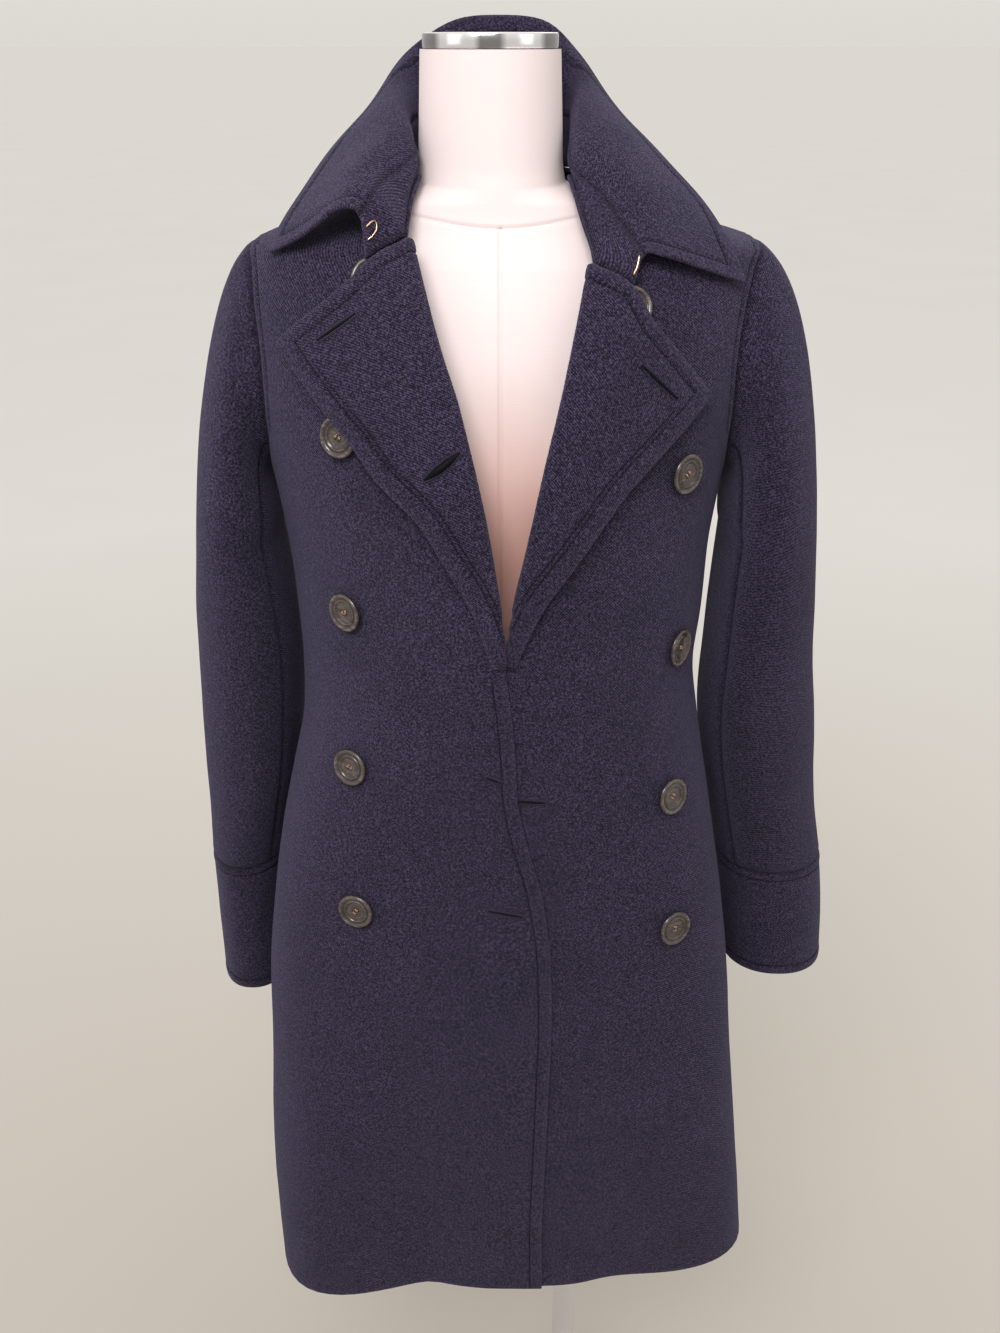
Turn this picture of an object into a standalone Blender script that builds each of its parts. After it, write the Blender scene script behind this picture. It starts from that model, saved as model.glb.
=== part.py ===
"""Double-breasted wool coat, worn open on a limbless dress form.

Metres, +Z up. The coat's front faces -Y, and left and right are the wearer's: the wearer's
right is -X. The origin is on the floor under the form, on the underside of the base plate.
"""
import math
from collections import namedtuple
from functools import lru_cache

import bmesh
import bpy
from mathutils import Vector
from mathutils.bvhtree import BVHTree

# Cloth thickness and seams
BODY_WALL = 0.0025
LAPEL_WALL = 0.0030
COLLAR_WALL = 0.0040
SEAM_GAP = 0.0003

# Heights of the coat
HEM_Z = 0.382
WAIST_LOW_Z = 1.010
WAIST_HIGH_Z = 1.045
BREAK_Z = 1.057
UNDERARM_Z = 1.172
SHOULDER_TIP_Z = 1.353
NECK_Z = 1.402
GORGE_RIGHT_Z = 1.361
GORGE_LEFT_Z = 1.3461

# Side seam and armhole, as angles round the body from the centre front
SIDE_ANGLE = 92.0
BACK_ANGLE = 180.0
ARMHOLE_FRONT = 18.5
ARMHOLE_BACK = 14.0

# Heights of the rows that the four body panels share, beside those of the armhole
SKIRT_ROWS = (HEM_Z, 0.430, 0.490, 0.550, 0.610, 0.670, 0.730, 0.790, 0.850, 0.905, 0.958,
              WAIST_LOW_Z, WAIST_HIGH_Z)
CHEST_ROWS = (BREAK_Z - 0.004, BREAK_Z, 1.095, 1.135)
NECK_ROWS = (GORGE_RIGHT_Z, 1.370, 1.380, 1.391, NECK_Z)

# Mesh steps
PANEL_COLUMNS = 8
ARMHOLE_STEPS = 8
FOLD_STEPS = 4
CAP_STEPS = 6
STAND_ROWS = 2
FALL_ROWS = 5
FORM_COLUMNS = 28
BUTTON_SIDES = 16
BUTTON_REACH, WIRE_REACH = 0.02, 0.03
NORMAL_STEP_Z, NORMAL_TURN = 0.0015, 1.0
PLACE_STEP = 0.02
SHARP_ANGLE = 40.0

# Lapel roll: heights of its shown face over the front, at the fold and away from it
LAPEL_BED = 0.0012
FOLD_RISE = 0.0030
LAPEL_RISE = 0.0075
ROLL_WIDTH = 0.020
GORGE_GAP, FOLD_CLEAR = 0.0006, 0.0014
LAPEL_ACROSS = (0.0, 0.125, 0.25, 0.44, 0.64, 0.84, 1.0)

# Overlap of the fronts: how far the upper front stands off the lower one
LAP_LIFT = 0.0034

# Stand of the dress form
POLE_X, POLE_Y, POLE_RADIUS = 0.070, -0.020, 0.012
PLATE_RADIUS, PLATE_HEIGHT = 0.135, 0.010
FORM_FOOT_Z = 0.760
CAP_RADIUS, CAP_LOW_Z, CAP_HIGH_Z = 0.050, 1.4867, 1.4975
NECK_MIDDLE_X = -0.007
FORM_SEAT = 0.0036
FORM_SHOULDER = 0.178

Section = namedtuple("Section", "z right left front back middle square")
Sleeve = namedtuple("Sleeve", "z middle_x half_width middle_y half_depth")
Edge = namedtuple("Edge", "z x")
Fold = namedtuple("Fold", "angle width depth top")
Outline = namedtuple("Outline", "step x z")
Profile = namedtuple("Profile", "s seam crest middle edge")
Button = namedtuple("Button", "x z")
Place = namedtuple("Place", "s x y z")

# Body of the coat: half widths, depths to front and back, where it is widest, squareness
BODY = (
    Section(0.382, 0.2200, 0.243, 0.135, 0.147, -0.030, 2.9),
    Section(0.500, 0.2240, 0.232, 0.135, 0.144, -0.032, 2.8),
    Section(0.620, 0.2190, 0.220, 0.136, 0.141, -0.034, 2.7),
    Section(0.720, 0.214, 0.211, 0.137, 0.138, -0.034, 2.6),
    Section(0.800, 0.204, 0.200, 0.138, 0.133, -0.032, 2.5),
    Section(0.860, 0.194, 0.190, 0.140, 0.125, -0.028, 2.4),
    Section(0.910, 0.183, 0.181, 0.142, 0.115, -0.024, 2.3),
    Section(0.960, 0.172, 0.172, 0.145, 0.102, -0.018, 2.2),
    Section(1.010, 0.1695, 0.166, 0.148, 0.093, -0.012, 2.1),
    Section(1.060, 0.172, 0.172, 0.150, 0.097, -0.006, 2.0),
    Section(1.120, 0.178, 0.176, 0.152, 0.110, 0.0, 2.0),
    Section(1.180, 0.187, 0.184, 0.152, 0.119, 0.0, 2.0),
    Section(1.240, 0.196, 0.194, 0.147, 0.124, 0.0, 2.0),
    Section(1.280, 0.199, 0.198, 0.138, 0.122, 0.0, 2.0),
    Section(1.310, 0.200, 0.2005, 0.127, 0.117, 0.0, 2.0),
    Section(1.335, 0.196, 0.2015, 0.114, 0.111, 0.0, 2.0),
    Section(1.353, 0.188, 0.197, 0.102, 0.106, 0.0, 2.0),
    Section(1.370, 0.146, 0.142, 0.0895, 0.098, 0.0, 2.0),
    Section(1.385, 0.112, 0.103, 0.0785, 0.087, 0.0, 2.0),
    Section(1.402, 0.0685, 0.0565, 0.066, 0.073, 0.0, 2.0),
)

# Soft folds that open towards the hem
FOLDS = (
    Fold(-60.0, 14.0, 0.034, 0.74),
    Fold(-36.0, 10.0, -0.006, 0.75),
    Fold(52.0, 12.0, -0.010, 0.74),
    Fold(78.0, 12.0, 0.006, 0.80),
    Fold(124.0, 15.0, 0.009, 0.85),
    Fold(152.0, 13.0, -0.007, 0.85),
    Fold(-128.0, 14.0, 0.010, 0.85),
    Fold(-157.0, 12.0, -0.006, 0.80),
)

# Front edges, lapel roll lines and neckline of each front, seen from straight ahead
EDGE_RIGHT = (
    Edge(0.382, 0.0410), Edge(0.459, 0.0400), Edge(0.546, 0.0420), Edge(0.629, 0.0440),
    Edge(0.707, 0.0455), Edge(0.781, 0.0430), Edge(0.807, 0.0400), Edge(0.847, 0.0335),
    Edge(0.893, 0.0220), Edge(0.933, 0.0145), Edge(0.972, 0.0125), Edge(1.009, 0.0095),
    Edge(1.045, 0.0055), Edge(1.057, 0.0045),
)
EDGE_LEFT = (Edge(0.382, 0.0060), Edge(0.700, 0.0040), Edge(1.057, 0.0050))
ROLL_RIGHT = (
    Edge(1.057, 0.0040), Edge(1.075, 0.0040), Edge(1.105, 0.0005), Edge(1.146, -0.0050),
    Edge(1.192, -0.0135), Edge(1.253, -0.0280), Edge(1.288, -0.0400), Edge(1.323, -0.0505),
    Edge(GORGE_RIGHT_Z, -0.0610),
)
ROLL_LEFT = (
    Edge(1.057, 0.0050), Edge(1.072, 0.0055), Edge(1.114, 0.0110), Edge(1.145, 0.0175),
    Edge(1.209, 0.0310), Edge(1.266, 0.0450), Edge(1.309, 0.0540), Edge(GORGE_LEFT_Z, 0.0610),
)
NECK_RIGHT = (
    Edge(GORGE_RIGHT_Z, -0.0665), Edge(1.380, -0.0645), Edge(1.390, -0.0625), Edge(1.398, -0.0595),
    Edge(1.402, -0.0580),
)
NECK_LEFT = (
    Edge(GORGE_LEFT_Z, 0.0665), Edge(1.358, 0.0645), Edge(1.375, 0.0585), Edge(1.390, 0.0540),
    Edge(1.398, 0.0515), Edge(1.402, 0.0500),
)

# Lapel outlines from the break up to the tip, then along the top to the roll line
LAPEL_OUTER_RIGHT = (
    Outline(0.00, -0.0060, 1.058), Outline(0.10, -0.0120, 1.077), Outline(0.20, -0.0210, 1.105),
    Outline(0.35, -0.0410, 1.1435), Outline(0.46, -0.0580, 1.172), Outline(0.60, -0.0870, 1.2015),
    Outline(0.71, -0.1050, 1.2255), Outline(0.82, -0.1270, 1.250), Outline(0.92, -0.1440, 1.270),
    Outline(1.00, -0.1605, 1.292),
)
LAPEL_TOP_RIGHT = (
    Outline(0.00, -0.0610, GORGE_RIGHT_Z), Outline(0.25, -0.0885, 1.345), Outline(0.42, -0.1040, 1.3310),
    Outline(0.65, -0.1265, 1.3145), Outline(0.87, -0.1470, 1.2995), Outline(1.00, -0.1575, 1.290),
)
LAPEL_OUTER_LEFT = (
    Outline(0.00, 0.0125, 1.058), Outline(0.20, 0.0312, 1.104), Outline(0.40, 0.0573, 1.145),
    Outline(0.62, 0.0875, 1.1890), Outline(0.76, 0.1090, 1.212), Outline(0.91, 0.1365, 1.240),
    Outline(1.00, 0.1495, 1.2545),
)
LAPEL_TOP_LEFT = (
    Outline(0.00, 0.0610, GORGE_LEFT_Z), Outline(0.25, 0.0880, 1.3305), Outline(0.47, 0.1030, 1.308),
    Outline(0.67, 0.1180, 1.292), Outline(0.85, 0.1345, 1.273), Outline(1.00, 0.1495, 1.2545),
)

# Collar lines from the wearer's right end (s = -1) by the centre back (0) to the left end (1)
COLLAR_SIDE_S, COLLAR_FRONT_S, COLLAR_ROLL_S = 0.46, 0.58, 0.88
# How far the collar's seam stands off the coat at the back, the neckline's corner and the roll
BASE_RISES = (0.0006, 0.0024, 0.0050)
COLLAR_STATIONS = (0.0, 0.11, 0.22, 0.34, 0.46, 0.54, 0.62, 0.69, 0.76, 0.82, 0.88, 0.94, 1.0)
COLLAR = (
    Profile(-1.00, (-0.0975, -0.100, 1.382), (-0.1155, -0.098, 1.386), (-0.143, -0.083, 1.366),
            (-0.1715, -0.058, 1.350)),
    Profile(-0.88, (-0.0890, -0.086, 1.396), (-0.108, -0.082, 1.400), (-0.136, -0.068, 1.384),
            (-0.1640, -0.046, 1.3675)),
    Profile(-0.76, (-0.0800, -0.065, 1.404), (-0.098, -0.060, 1.416), (-0.124, -0.048, 1.404),
            (-0.150, -0.033, 1.388)),
    Profile(-0.62, (-0.0615, -0.034, 1.418), (-0.0755, -0.025, 1.436), (-0.102, -0.014, 1.433),
            (-0.130, -0.005, 1.416)),
    Profile(-0.46, (-0.0665, 0.003, 1.434), (-0.0740, 0.012, 1.451), (-0.0890, 0.029, 1.455),
            (-0.104, 0.046, 1.445)),
    Profile(-0.22, (-0.058, 0.058, 1.438), (-0.063, 0.063, 1.460), (-0.069, 0.069, 1.478),
            (-0.074, 0.077, 1.485)),
    Profile(-0.11, (-0.031, 0.074, 1.4375), (-0.034, 0.077, 1.461), (-0.037, 0.081, 1.486),
            (-0.038, 0.086, 1.507)),
    Profile(0.00, (-0.004, 0.079, 1.437), (-0.004, 0.081, 1.460), (-0.003, 0.084, 1.487),
            (-0.001, 0.090, 1.5115)),
    Profile(0.11, (0.024, 0.074, 1.4375), (0.027, 0.077, 1.461), (0.031, 0.081, 1.486),
            (0.036, 0.086, 1.507)),
    Profile(0.22, (0.050, 0.058, 1.438), (0.053, 0.063, 1.460), (0.057, 0.069, 1.479),
            (0.061, 0.077, 1.486)),
    Profile(0.46, (0.0525, 0.003, 1.433), (0.0600, 0.013, 1.450), (0.0760, 0.031, 1.454),
            (0.0935, 0.047, 1.443)),
    Profile(0.62, (0.0515, -0.036, 1.4110), (0.0655, -0.028, 1.428), (0.0930, -0.018, 1.429),
            (0.124, -0.008, 1.413)),
    Profile(0.76, (0.0735, -0.066, 1.391), (0.094, -0.062, 1.402), (0.124, -0.050, 1.397),
            (0.155, -0.034, 1.381)),
    Profile(0.88, (0.0885, -0.088, 1.3725), (0.108, -0.085, 1.379), (0.1395, -0.074, 1.3695),
            (0.1710, -0.062, 1.356)),
    Profile(1.00, (0.1015, -0.106, 1.3565), (0.118, -0.104, 1.3545), (0.147, -0.091, 1.344),
            (0.1835, -0.066, 1.3285)),
)

# Sleeves below the cap, down to the cuff seam, and the cuff bands
SLEEVE_SQUARE = 2.2
CUFF_SEAM_Z = 0.785
SLEEVE_RIGHT = (
    Sleeve(0.640, -0.2445, 0.0335, 0.052, 0.055), Sleeve(0.720, -0.2445, 0.0335, 0.050, 0.056),
    Sleeve(0.785, -0.2420, 0.0350, 0.045, 0.057), Sleeve(0.840, -0.2350, 0.0390, 0.038, 0.059),
    Sleeve(0.880, -0.2300, 0.0425, 0.032, 0.060), Sleeve(0.940, -0.2245, 0.0455, 0.026, 0.063),
    Sleeve(1.000, -0.2205, 0.0460, 0.018, 0.065), Sleeve(1.060, -0.2195, 0.0420, 0.010, 0.067),
    Sleeve(1.120, -0.2195, 0.0350, 0.004, 0.069),
)
SLEEVE_LEFT = (
    Sleeve(0.668, 0.2700, 0.0480, 0.034, 0.052), Sleeve(0.720, 0.2660, 0.0490, 0.034, 0.053),
    Sleeve(0.785, 0.2575, 0.0495, 0.034, 0.054), Sleeve(0.840, 0.2470, 0.0500, 0.032, 0.056),
    Sleeve(0.880, 0.2403, 0.0512, 0.028, 0.058), Sleeve(0.940, 0.2330, 0.0520, 0.022, 0.062),
    Sleeve(1.000, 0.2290, 0.0475, 0.014, 0.065), Sleeve(1.060, 0.2270, 0.0440, 0.008, 0.067),
    Sleeve(1.120, 0.2255, 0.0395, 0.002, 0.069),
)
SLEEVE_ROWS = (1.060, 1.000, 0.940, 0.880, 0.830)
CUFF_ROWS = (0.745, 0.700)
# Sleeve cap: its reach out of the armhole at the underarm and at each shoulder tip, its spread
# to front and back, its droop at the top, and its slope out and down where it meets the sleeve
CAP_PULL_LOW, CAP_PULL_RIGHT, CAP_PULL_LEFT = 0.035, 0.100, 0.126
CAP_SPREAD, CAP_DROOP, CAP_OUT, CAP_FALL = 3.0, 0.40, 0.020, 1.07

# Button places, on the fronts
BUTTONS_RIGHT = (
    Button(-0.090, 1.337), Button(-0.116, 1.229), Button(-0.118, 1.088),
    Button(-0.120, 0.952), Button(-0.122, 0.818),
)
BUTTONS_LEFT = (
    Button(0.092, 1.318), Button(0.138, 1.196), Button(0.143, 1.046),
    Button(0.142, 0.918), Button(0.151, 0.792),
)
# Radius and height of a button's turned shape: thread shank, underside, rim and dish
BUTTON_PROFILE = (
    (0.0, 0.0), (0.0040, 0.0), (0.0040, 0.0025), (0.0140, 0.0028), (0.01575, 0.0045),
    (0.0145, 0.0068), (0.0112, 0.0057), (0.0098, 0.0062), (0.0076, 0.0050), (0.0, 0.0050),
)

# Hook and eye: wire routes on the front ends of the collar stand
WIRE_RADIUS, WIRE_RISE = 0.0007, 0.0015
EYE_ROUTE = ((0.0040, -0.0045), (0.0085, -0.0045), (0.0120, -0.0030), (0.0130, 0.0),
             (0.0120, 0.0030), (0.0085, 0.0045), (0.0040, 0.0045))
HOOK_ROUTE = ((0.0030, -0.0070), (0.0024, 0.0), (0.0030, 0.0070))

# The dress form, with its own neck above the coat's neckline
FORM = (
    Section(0.760, 0.150, 0.150, 0.094, 0.100, 0.0, 2.2),
    Section(0.850, 0.150, 0.150, 0.098, 0.104, 0.0, 2.2),
    Section(0.930, 0.136, 0.136, 0.092, 0.084, 0.0, 2.1),
    Section(1.010, 0.120, 0.120, 0.086, 0.070, 0.0, 2.0),
    Section(1.080, 0.130, 0.130, 0.098, 0.078, 0.0, 2.0),
    Section(1.150, 0.145, 0.145, 0.112, 0.092, 0.0, 2.0),
    Section(1.200, 0.153, 0.153, 0.116, 0.102, 0.0, 2.0),
    Section(1.260, 0.165, 0.165, 0.111, 0.107, 0.0, 2.0),
    Section(1.310, 0.176, 0.176, 0.096, 0.105, 0.0, 2.0),
    Section(1.340, 0.178, 0.178, 0.081, 0.100, 0.0, 2.0),
)
FORM_NECK = (
    Section(1.394, 0.0640, 0.0500, 0.0575, 0.0610, 0.0, 2.0),
    Section(1.405, 0.0620, 0.0480, 0.0555, 0.0580, 0.0, 2.0),
    Section(1.430, 0.0610, 0.0470, 0.0540, 0.0555, 0.0, 2.0),
    Section(1.4864, 0.0590, 0.0450, 0.0520, 0.0520, 0.0, 2.0),
)
FORM_CHEST = (Edge(1.340, 0.081), Edge(1.366, 0.0635), Edge(1.394, 0.0575))
BUST_X, BUST_Z, BUST_SPREAD, BUST_RISE = 0.080, 1.190, 0.045, 0.012
FORM_BODY_Z = (0.76, 0.81, 0.87, 0.93, 0.98, 1.03, 1.08, 1.12, 1.155, 1.19, 1.225, 1.26, 1.29,
               1.315, 1.335, 1.349, 1.358, 1.368, 1.378, 1.388)

COLOURS = {
    "wool": (0.050, 0.042, 0.075, 1.0),
    "jersey": (0.86, 0.78, 0.70, 1.0),
    "chrome": (0.85, 0.86, 0.88, 1.0),
    "horn": (0.13, 0.11, 0.09, 1.0),
    "brass": (0.62, 0.42, 0.28, 1.0),
}
METALS = ("chrome", "brass")


def hermite(start, end, leave, arrive, u):
    """Point between start and end on a cubic that leaves and arrives with given slopes."""
    point = (2 * u**3 - 3 * u**2 + 1) * start + (3 * u**2 - 2 * u**3) * end
    return point + (u**3 - 2 * u**2 + u) * leave + (u**3 - u**2) * arrive


def smooth(table, key):
    """Row of a table at a key, on smooth curves through the rows."""
    keys = [row[0] for row in table]
    if key <= keys[0]:
        return table[0]
    if key >= keys[-1]:
        return table[-1]
    at = max(k for k in range(len(keys)) if keys[k] <= key)
    span = keys[at + 1] - keys[at]
    u = (key - keys[at]) / span

    def slope(k, column):
        low, high = max(k - 1, 0), min(k + 1, len(keys) - 1)
        return (table[high][column] - table[low][column]) / (keys[high] - keys[low])

    values = []
    for column in range(len(table[0])):
        leave, arrive = span * slope(at, column), span * slope(at + 1, column)
        values.append(hermite(table[at][column], table[at + 1][column], leave, arrive, u))
    return type(table[0])(*values)


def ease(value):
    """Smooth step from 0 to 1."""
    value = min(max(value, 0.0), 1.0)
    return value * value * (3 - 2 * value)


def power(value, exponent):
    """Signed power, for rounded box sections."""
    return math.copysign(abs(value) ** exponent, value)


def section_point(section, angle):
    """Point of a rounded section at an angle from the centre front, positive to +X."""
    across, ahead = math.sin(math.radians(angle)), math.cos(math.radians(angle))
    half = section.left if across > 0 else section.right
    reach = section.front + section.middle if ahead > 0 else section.back - section.middle
    size = (abs(across) / half) ** section.square + (abs(ahead) / reach) ** section.square
    radius = size ** (-1 / section.square)
    return Vector((radius * across, section.middle - radius * ahead, section.z))


@lru_cache(maxsize=None)
def body_section(z):
    """Section of the coat's body at a height."""
    return smooth(BODY, z)._replace(z=z)


def body_point(angle, z):
    """Point of the coat's outer surface."""
    point = section_point(body_section(z), angle)
    out = Vector((point.x, point.y, 0)).normalized()
    for fold in FOLDS:
        drop = ease((fold.top - z) / (fold.top - HEM_Z))
        away = (angle - fold.angle + 180) % 360 - 180
        point += out * fold.depth * drop * math.exp(-(away / fold.width) ** 2)
    return point


def body_normal(angle, z):
    """Outward direction of the coat's surface."""
    low, high = max(z - NORMAL_STEP_Z, HEM_Z), min(z + NORMAL_STEP_Z, NECK_Z)
    turn = body_point(angle + NORMAL_TURN, z) - body_point(angle - NORMAL_TURN, z)
    climb = body_point(angle, high) - body_point(angle, low)
    return turn.cross(climb).normalized()


def front_angle(x, z):
    """Angle of the front's point at a distance x from the middle."""
    section = body_section(z)
    half = section.left if x > 0 else section.right
    rest = 1 - min(abs(x) / half, 1.0) ** section.square
    ahead = (section.front + section.middle) * rest ** (1 / section.square)
    return math.degrees(math.atan2(x, ahead))


def lap_lift(x, z):
    """How far the wearer's right front stands off where it laps over the left one."""
    return LAP_LIFT * ease((x + 0.050) / 0.045) * ease((1.130 - z) / 0.060)


def front_surface(side, x, z, rise=0.0):
    """Point of a front's outer surface, raised along its normal."""
    angle = front_angle(x, z)
    if side < 0:
        rise += lap_lift(x, z)
    return body_point(angle, z) + body_normal(angle, z) * rise


def armhole_angle(z, width):
    """Angle of the armhole's edge at a height, measured from the side seam."""
    middle = (UNDERARM_Z + SHOULDER_TIP_Z) / 2
    half = (SHOULDER_TIP_Z - UNDERARM_Z) / 2
    level = min(abs(z - middle) / half, 1.0)
    return width * math.sqrt(1 - level * level)


def armhole_heights():
    """Heights of the armhole's points, closer together at its top and bottom."""
    middle = (UNDERARM_Z + SHOULDER_TIP_Z) / 2
    half = (SHOULDER_TIP_Z - UNDERARM_Z) / 2
    turns = [math.pi * step / ARMHOLE_STEPS for step in range(ARMHOLE_STEPS + 1)]
    return [middle - half * math.cos(turn) for turn in turns]


def panel_heights():
    """Heights of the rows that the four body panels share."""
    return [*SKIRT_ROWS, *CHEST_ROWS, *armhole_heights(), *NECK_ROWS]


def fold_size(z):
    """Radius of the lapel's fold and height of its shown face beside the fold."""
    grow = ease((z - BREAK_Z) / 0.080)
    height = LAPEL_WALL + LAPEL_BED + FOLD_RISE * grow
    return (height + BODY_WALL) / 2, height


def roll_top(side):
    """Height where the lapel's roll line ends at the collar."""
    return (ROLL_RIGHT if side < 0 else ROLL_LEFT)[-1].z


def front_edge_x(side, z):
    """Front edge of a front panel: straight edge, folded lapel, then neckline."""
    edge, roll, neck = ((EDGE_RIGHT, ROLL_RIGHT, NECK_RIGHT) if side < 0
                        else (EDGE_LEFT, ROLL_LEFT, NECK_LEFT))
    if z < BREAK_Z - 0.001:
        return smooth(edge, z).x
    if z < roll_top(side):
        return smooth(roll, z).x + side * (fold_size(z)[0] + SEAM_GAP)
    return smooth(neck, z).x


def grid_normals(grid, shown, closed=False):
    """Unit normals of a grid of points, on the side that shown(point) looks to."""
    rows, columns = len(grid), len(grid[0])
    normals = []
    agree = 0
    for i in range(rows):
        line = []
        for j in range(columns):
            before, after = ((j - 1) % columns, (j + 1) % columns) if closed else (
                max(j - 1, 0), min(j + 1, columns - 1))
            along = grid[i][after] - grid[i][before]
            up = grid[min(i + 1, rows - 1)][j] - grid[max(i - 1, 0)][j]
            normal = along.cross(up)
            agree += 1 if normal.dot(shown(grid[i][j])) > 0 else -1
            line.append(normal.normalized())
        normals.append(line)
    sign = 1 if agree > 0 else -1
    return [[normal * sign for normal in line] for line in normals]


def trim_border(grid, top=True, bottom=True, first=True, last=True, gap=SEAM_GAP):
    """Move the chosen borders of a grid in by half a seam gap."""
    half = gap / 2
    grid = [[point.copy() for point in line] for line in grid]
    for line in grid:
        if first:
            line[0] += (line[1] - line[0]).normalized() * half
        if last:
            line[-1] += (line[-2] - line[-1]).normalized() * half
    for chosen, end, inner in ((bottom, 0, 1), (top, -1, -2)):
        if chosen:
            for j, point in enumerate(grid[inner]):
                grid[end][j] += (point - grid[end][j]).normalized() * half
    return grid


def new_object(name, bm, material_name):
    """Object from a bmesh, in its material, shaded smooth but for its sharp edges."""
    bmesh.ops.triangulate(bm, faces=bm.faces, quad_method="SHORT_EDGE")
    bmesh.ops.recalc_face_normals(bm, faces=bm.faces)
    mesh = bpy.data.meshes.new(name)
    bm.to_mesh(mesh)
    bm.free()
    mesh.shade_smooth()
    mesh.set_sharp_from_angle(angle=math.radians(SHARP_ANGLE))
    thing = bpy.data.objects.new(name, mesh)
    bpy.context.collection.objects.link(thing)
    mesh.materials.append(material(name, material_name))
    return thing


def material(name, kind):
    """A piece's own material."""
    made = bpy.data.materials.new(f"{name}_{kind}")
    made.use_nodes = True
    shader = made.node_tree.nodes["Principled BSDF"]
    shader.inputs["Base Color"].default_value = COLOURS[kind]
    shader.inputs["Metallic"].default_value = 1.0 if kind in METALS else 0.0
    shader.inputs["Roughness"].default_value = 0.2 if kind in METALS else 0.85
    return made


def shell(name, grid, normals, wall, closed=False, kind="wool"):
    """Closed wall of cloth: the grid's face, its back a wall away, and the rims."""
    bm = bmesh.new()
    rows, columns = len(grid), len(grid[0])
    face = [[bm.verts.new(point) for point in line] for line in grid]
    back = [[bm.verts.new(point - normals[i][j] * wall) for j, point in enumerate(line)]
            for i, line in enumerate(grid)]
    last = columns if closed else columns - 1
    for i in range(rows - 1):
        for j in range(last):
            k = (j + 1) % columns
            bm.faces.new((face[i][j], face[i][k], face[i + 1][k], face[i + 1][j]))
            bm.faces.new((back[i][j], back[i + 1][j], back[i + 1][k], back[i][k]))
        if not closed:
            for j in (0, columns - 1):
                bm.faces.new((face[i][j], face[i + 1][j], back[i + 1][j], back[i][j]))
    for i in (0, rows - 1):
        for j in range(last):
            k = (j + 1) % columns
            bm.faces.new((face[i][j], face[i][k], back[i][k], back[i][j]))
    return new_object(name, bm, kind)


def turned(name, profile, sides, kind):
    """Solid turned round its own Z axis from (radius, height) points."""
    bm = bmesh.new()
    verts = [bm.verts.new((radius, 0, height)) for radius, height in profile]
    edges = [bm.edges.new(pair) for pair in zip(verts, verts[1:])]
    bmesh.ops.spin(bm, geom=verts + edges, cent=(0, 0, 0), axis=(0, 0, 1),
                   angle=2 * math.pi, steps=sides)
    bmesh.ops.remove_doubles(bm, verts=bm.verts, dist=0.00001)
    return new_object(name, bm, kind)


def away_from_axis(point):
    """Direction out of the body."""
    return Vector((point.x, point.y, 0))


def front_angles(side, z):
    """Angles of a front's columns, from its front edge to the side seam or armhole."""
    inner = front_angle(front_edge_x(side, z), z) * side
    outer = SIDE_ANGLE
    if UNDERARM_Z < z < SHOULDER_TIP_Z:
        outer -= armhole_angle(z, ARMHOLE_FRONT)
    inner = min(inner, outer - 4.0)
    steps = range(PANEL_COLUMNS + 1)
    return [inner + (outer - inner) * column / PANEL_COLUMNS for column in steps]


def back_angles(z):
    """Angles of the back's columns, from the side seam or armhole to the centre back."""
    outer = SIDE_ANGLE
    if UNDERARM_Z < z < SHOULDER_TIP_Z:
        outer += armhole_angle(z, ARMHOLE_BACK)
    steps = range(PANEL_COLUMNS + 1)
    return [outer + (BACK_ANGLE - outer) * column / PANEL_COLUMNS for column in steps]


def panel(side, angles_at):
    """Grid of a body panel, row by row up from the hem, with its outward normals."""
    grid, normals = [], []
    for z in panel_heights():
        row, line = [], []
        for angle in angles_at(z):
            normal = body_normal(side * angle, z)
            point = body_point(side * angle, z)
            if side < 0:
                point += normal * lap_lift(point.x, z) * (angle < SIDE_ANGLE)
            row.append(point)
            line.append(normal)
        grid.append(row)
        normals.append(line)
    return grid, normals


def make_body():
    """Fronts and backs, a seam gap apart."""
    for side, word in ((-1, "right"), (1, "left")):
        grid, normals = panel(side, lambda z, side=side: front_angles(side, z))
        grid = trim_border(grid, top=False, bottom=False, first=False)
        shell(f"front_{word}", grid, normals, BODY_WALL)
        grid, normals = panel(side, back_angles)
        grid = trim_border(grid, top=False, bottom=False)
        shell(f"back_{word}", grid, normals, BODY_WALL)


def make_half_belt():
    """Half belt across the back of the waist, just off the backs, from side to side."""
    angles = back_angles(WAIST_LOW_Z)
    around = [-angle for angle in angles] + angles[-2::-1]
    rise = SEAM_GAP + BODY_WALL
    grid = []
    for z in (WAIST_LOW_Z, WAIST_HIGH_Z):
        grid.append([body_point(a, z) + body_normal(a, z) * rise for a in around])
    shell("half_belt", grid, grid_normals(grid, away_from_axis), BODY_WALL)


def outline_point(table, step):
    """Point (x, z) of a lapel outline."""
    row = smooth(table, step)
    return Vector((row.x, row.z))


def lapel_place(side, v, w):
    """Place (x, z) on a lapel: v from the break to the top, w from roll line to edge."""
    outer, top, roll = ((LAPEL_OUTER_RIGHT, LAPEL_TOP_RIGHT, ROLL_RIGHT) if side < 0
                        else (LAPEL_OUTER_LEFT, LAPEL_TOP_LEFT, ROLL_LEFT))
    low_z = outer[0].z

    def roll_point(step):
        z = low_z + (roll_top(side) - low_z) * step
        return Vector((smooth(roll, z).x, z))

    left, right = roll_point(v), outline_point(outer, v)
    base = roll_point(0).lerp(outline_point(outer, 0), w)
    crown = outline_point(top, w)
    corners = (1 - v) * ((1 - w) * roll_point(0) + w * outline_point(outer, 0))
    corners += v * ((1 - w) * roll_point(1) + w * outline_point(outer, 1))
    return (1 - w) * left + w * right + (1 - v) * base + v * crown - corners


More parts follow.
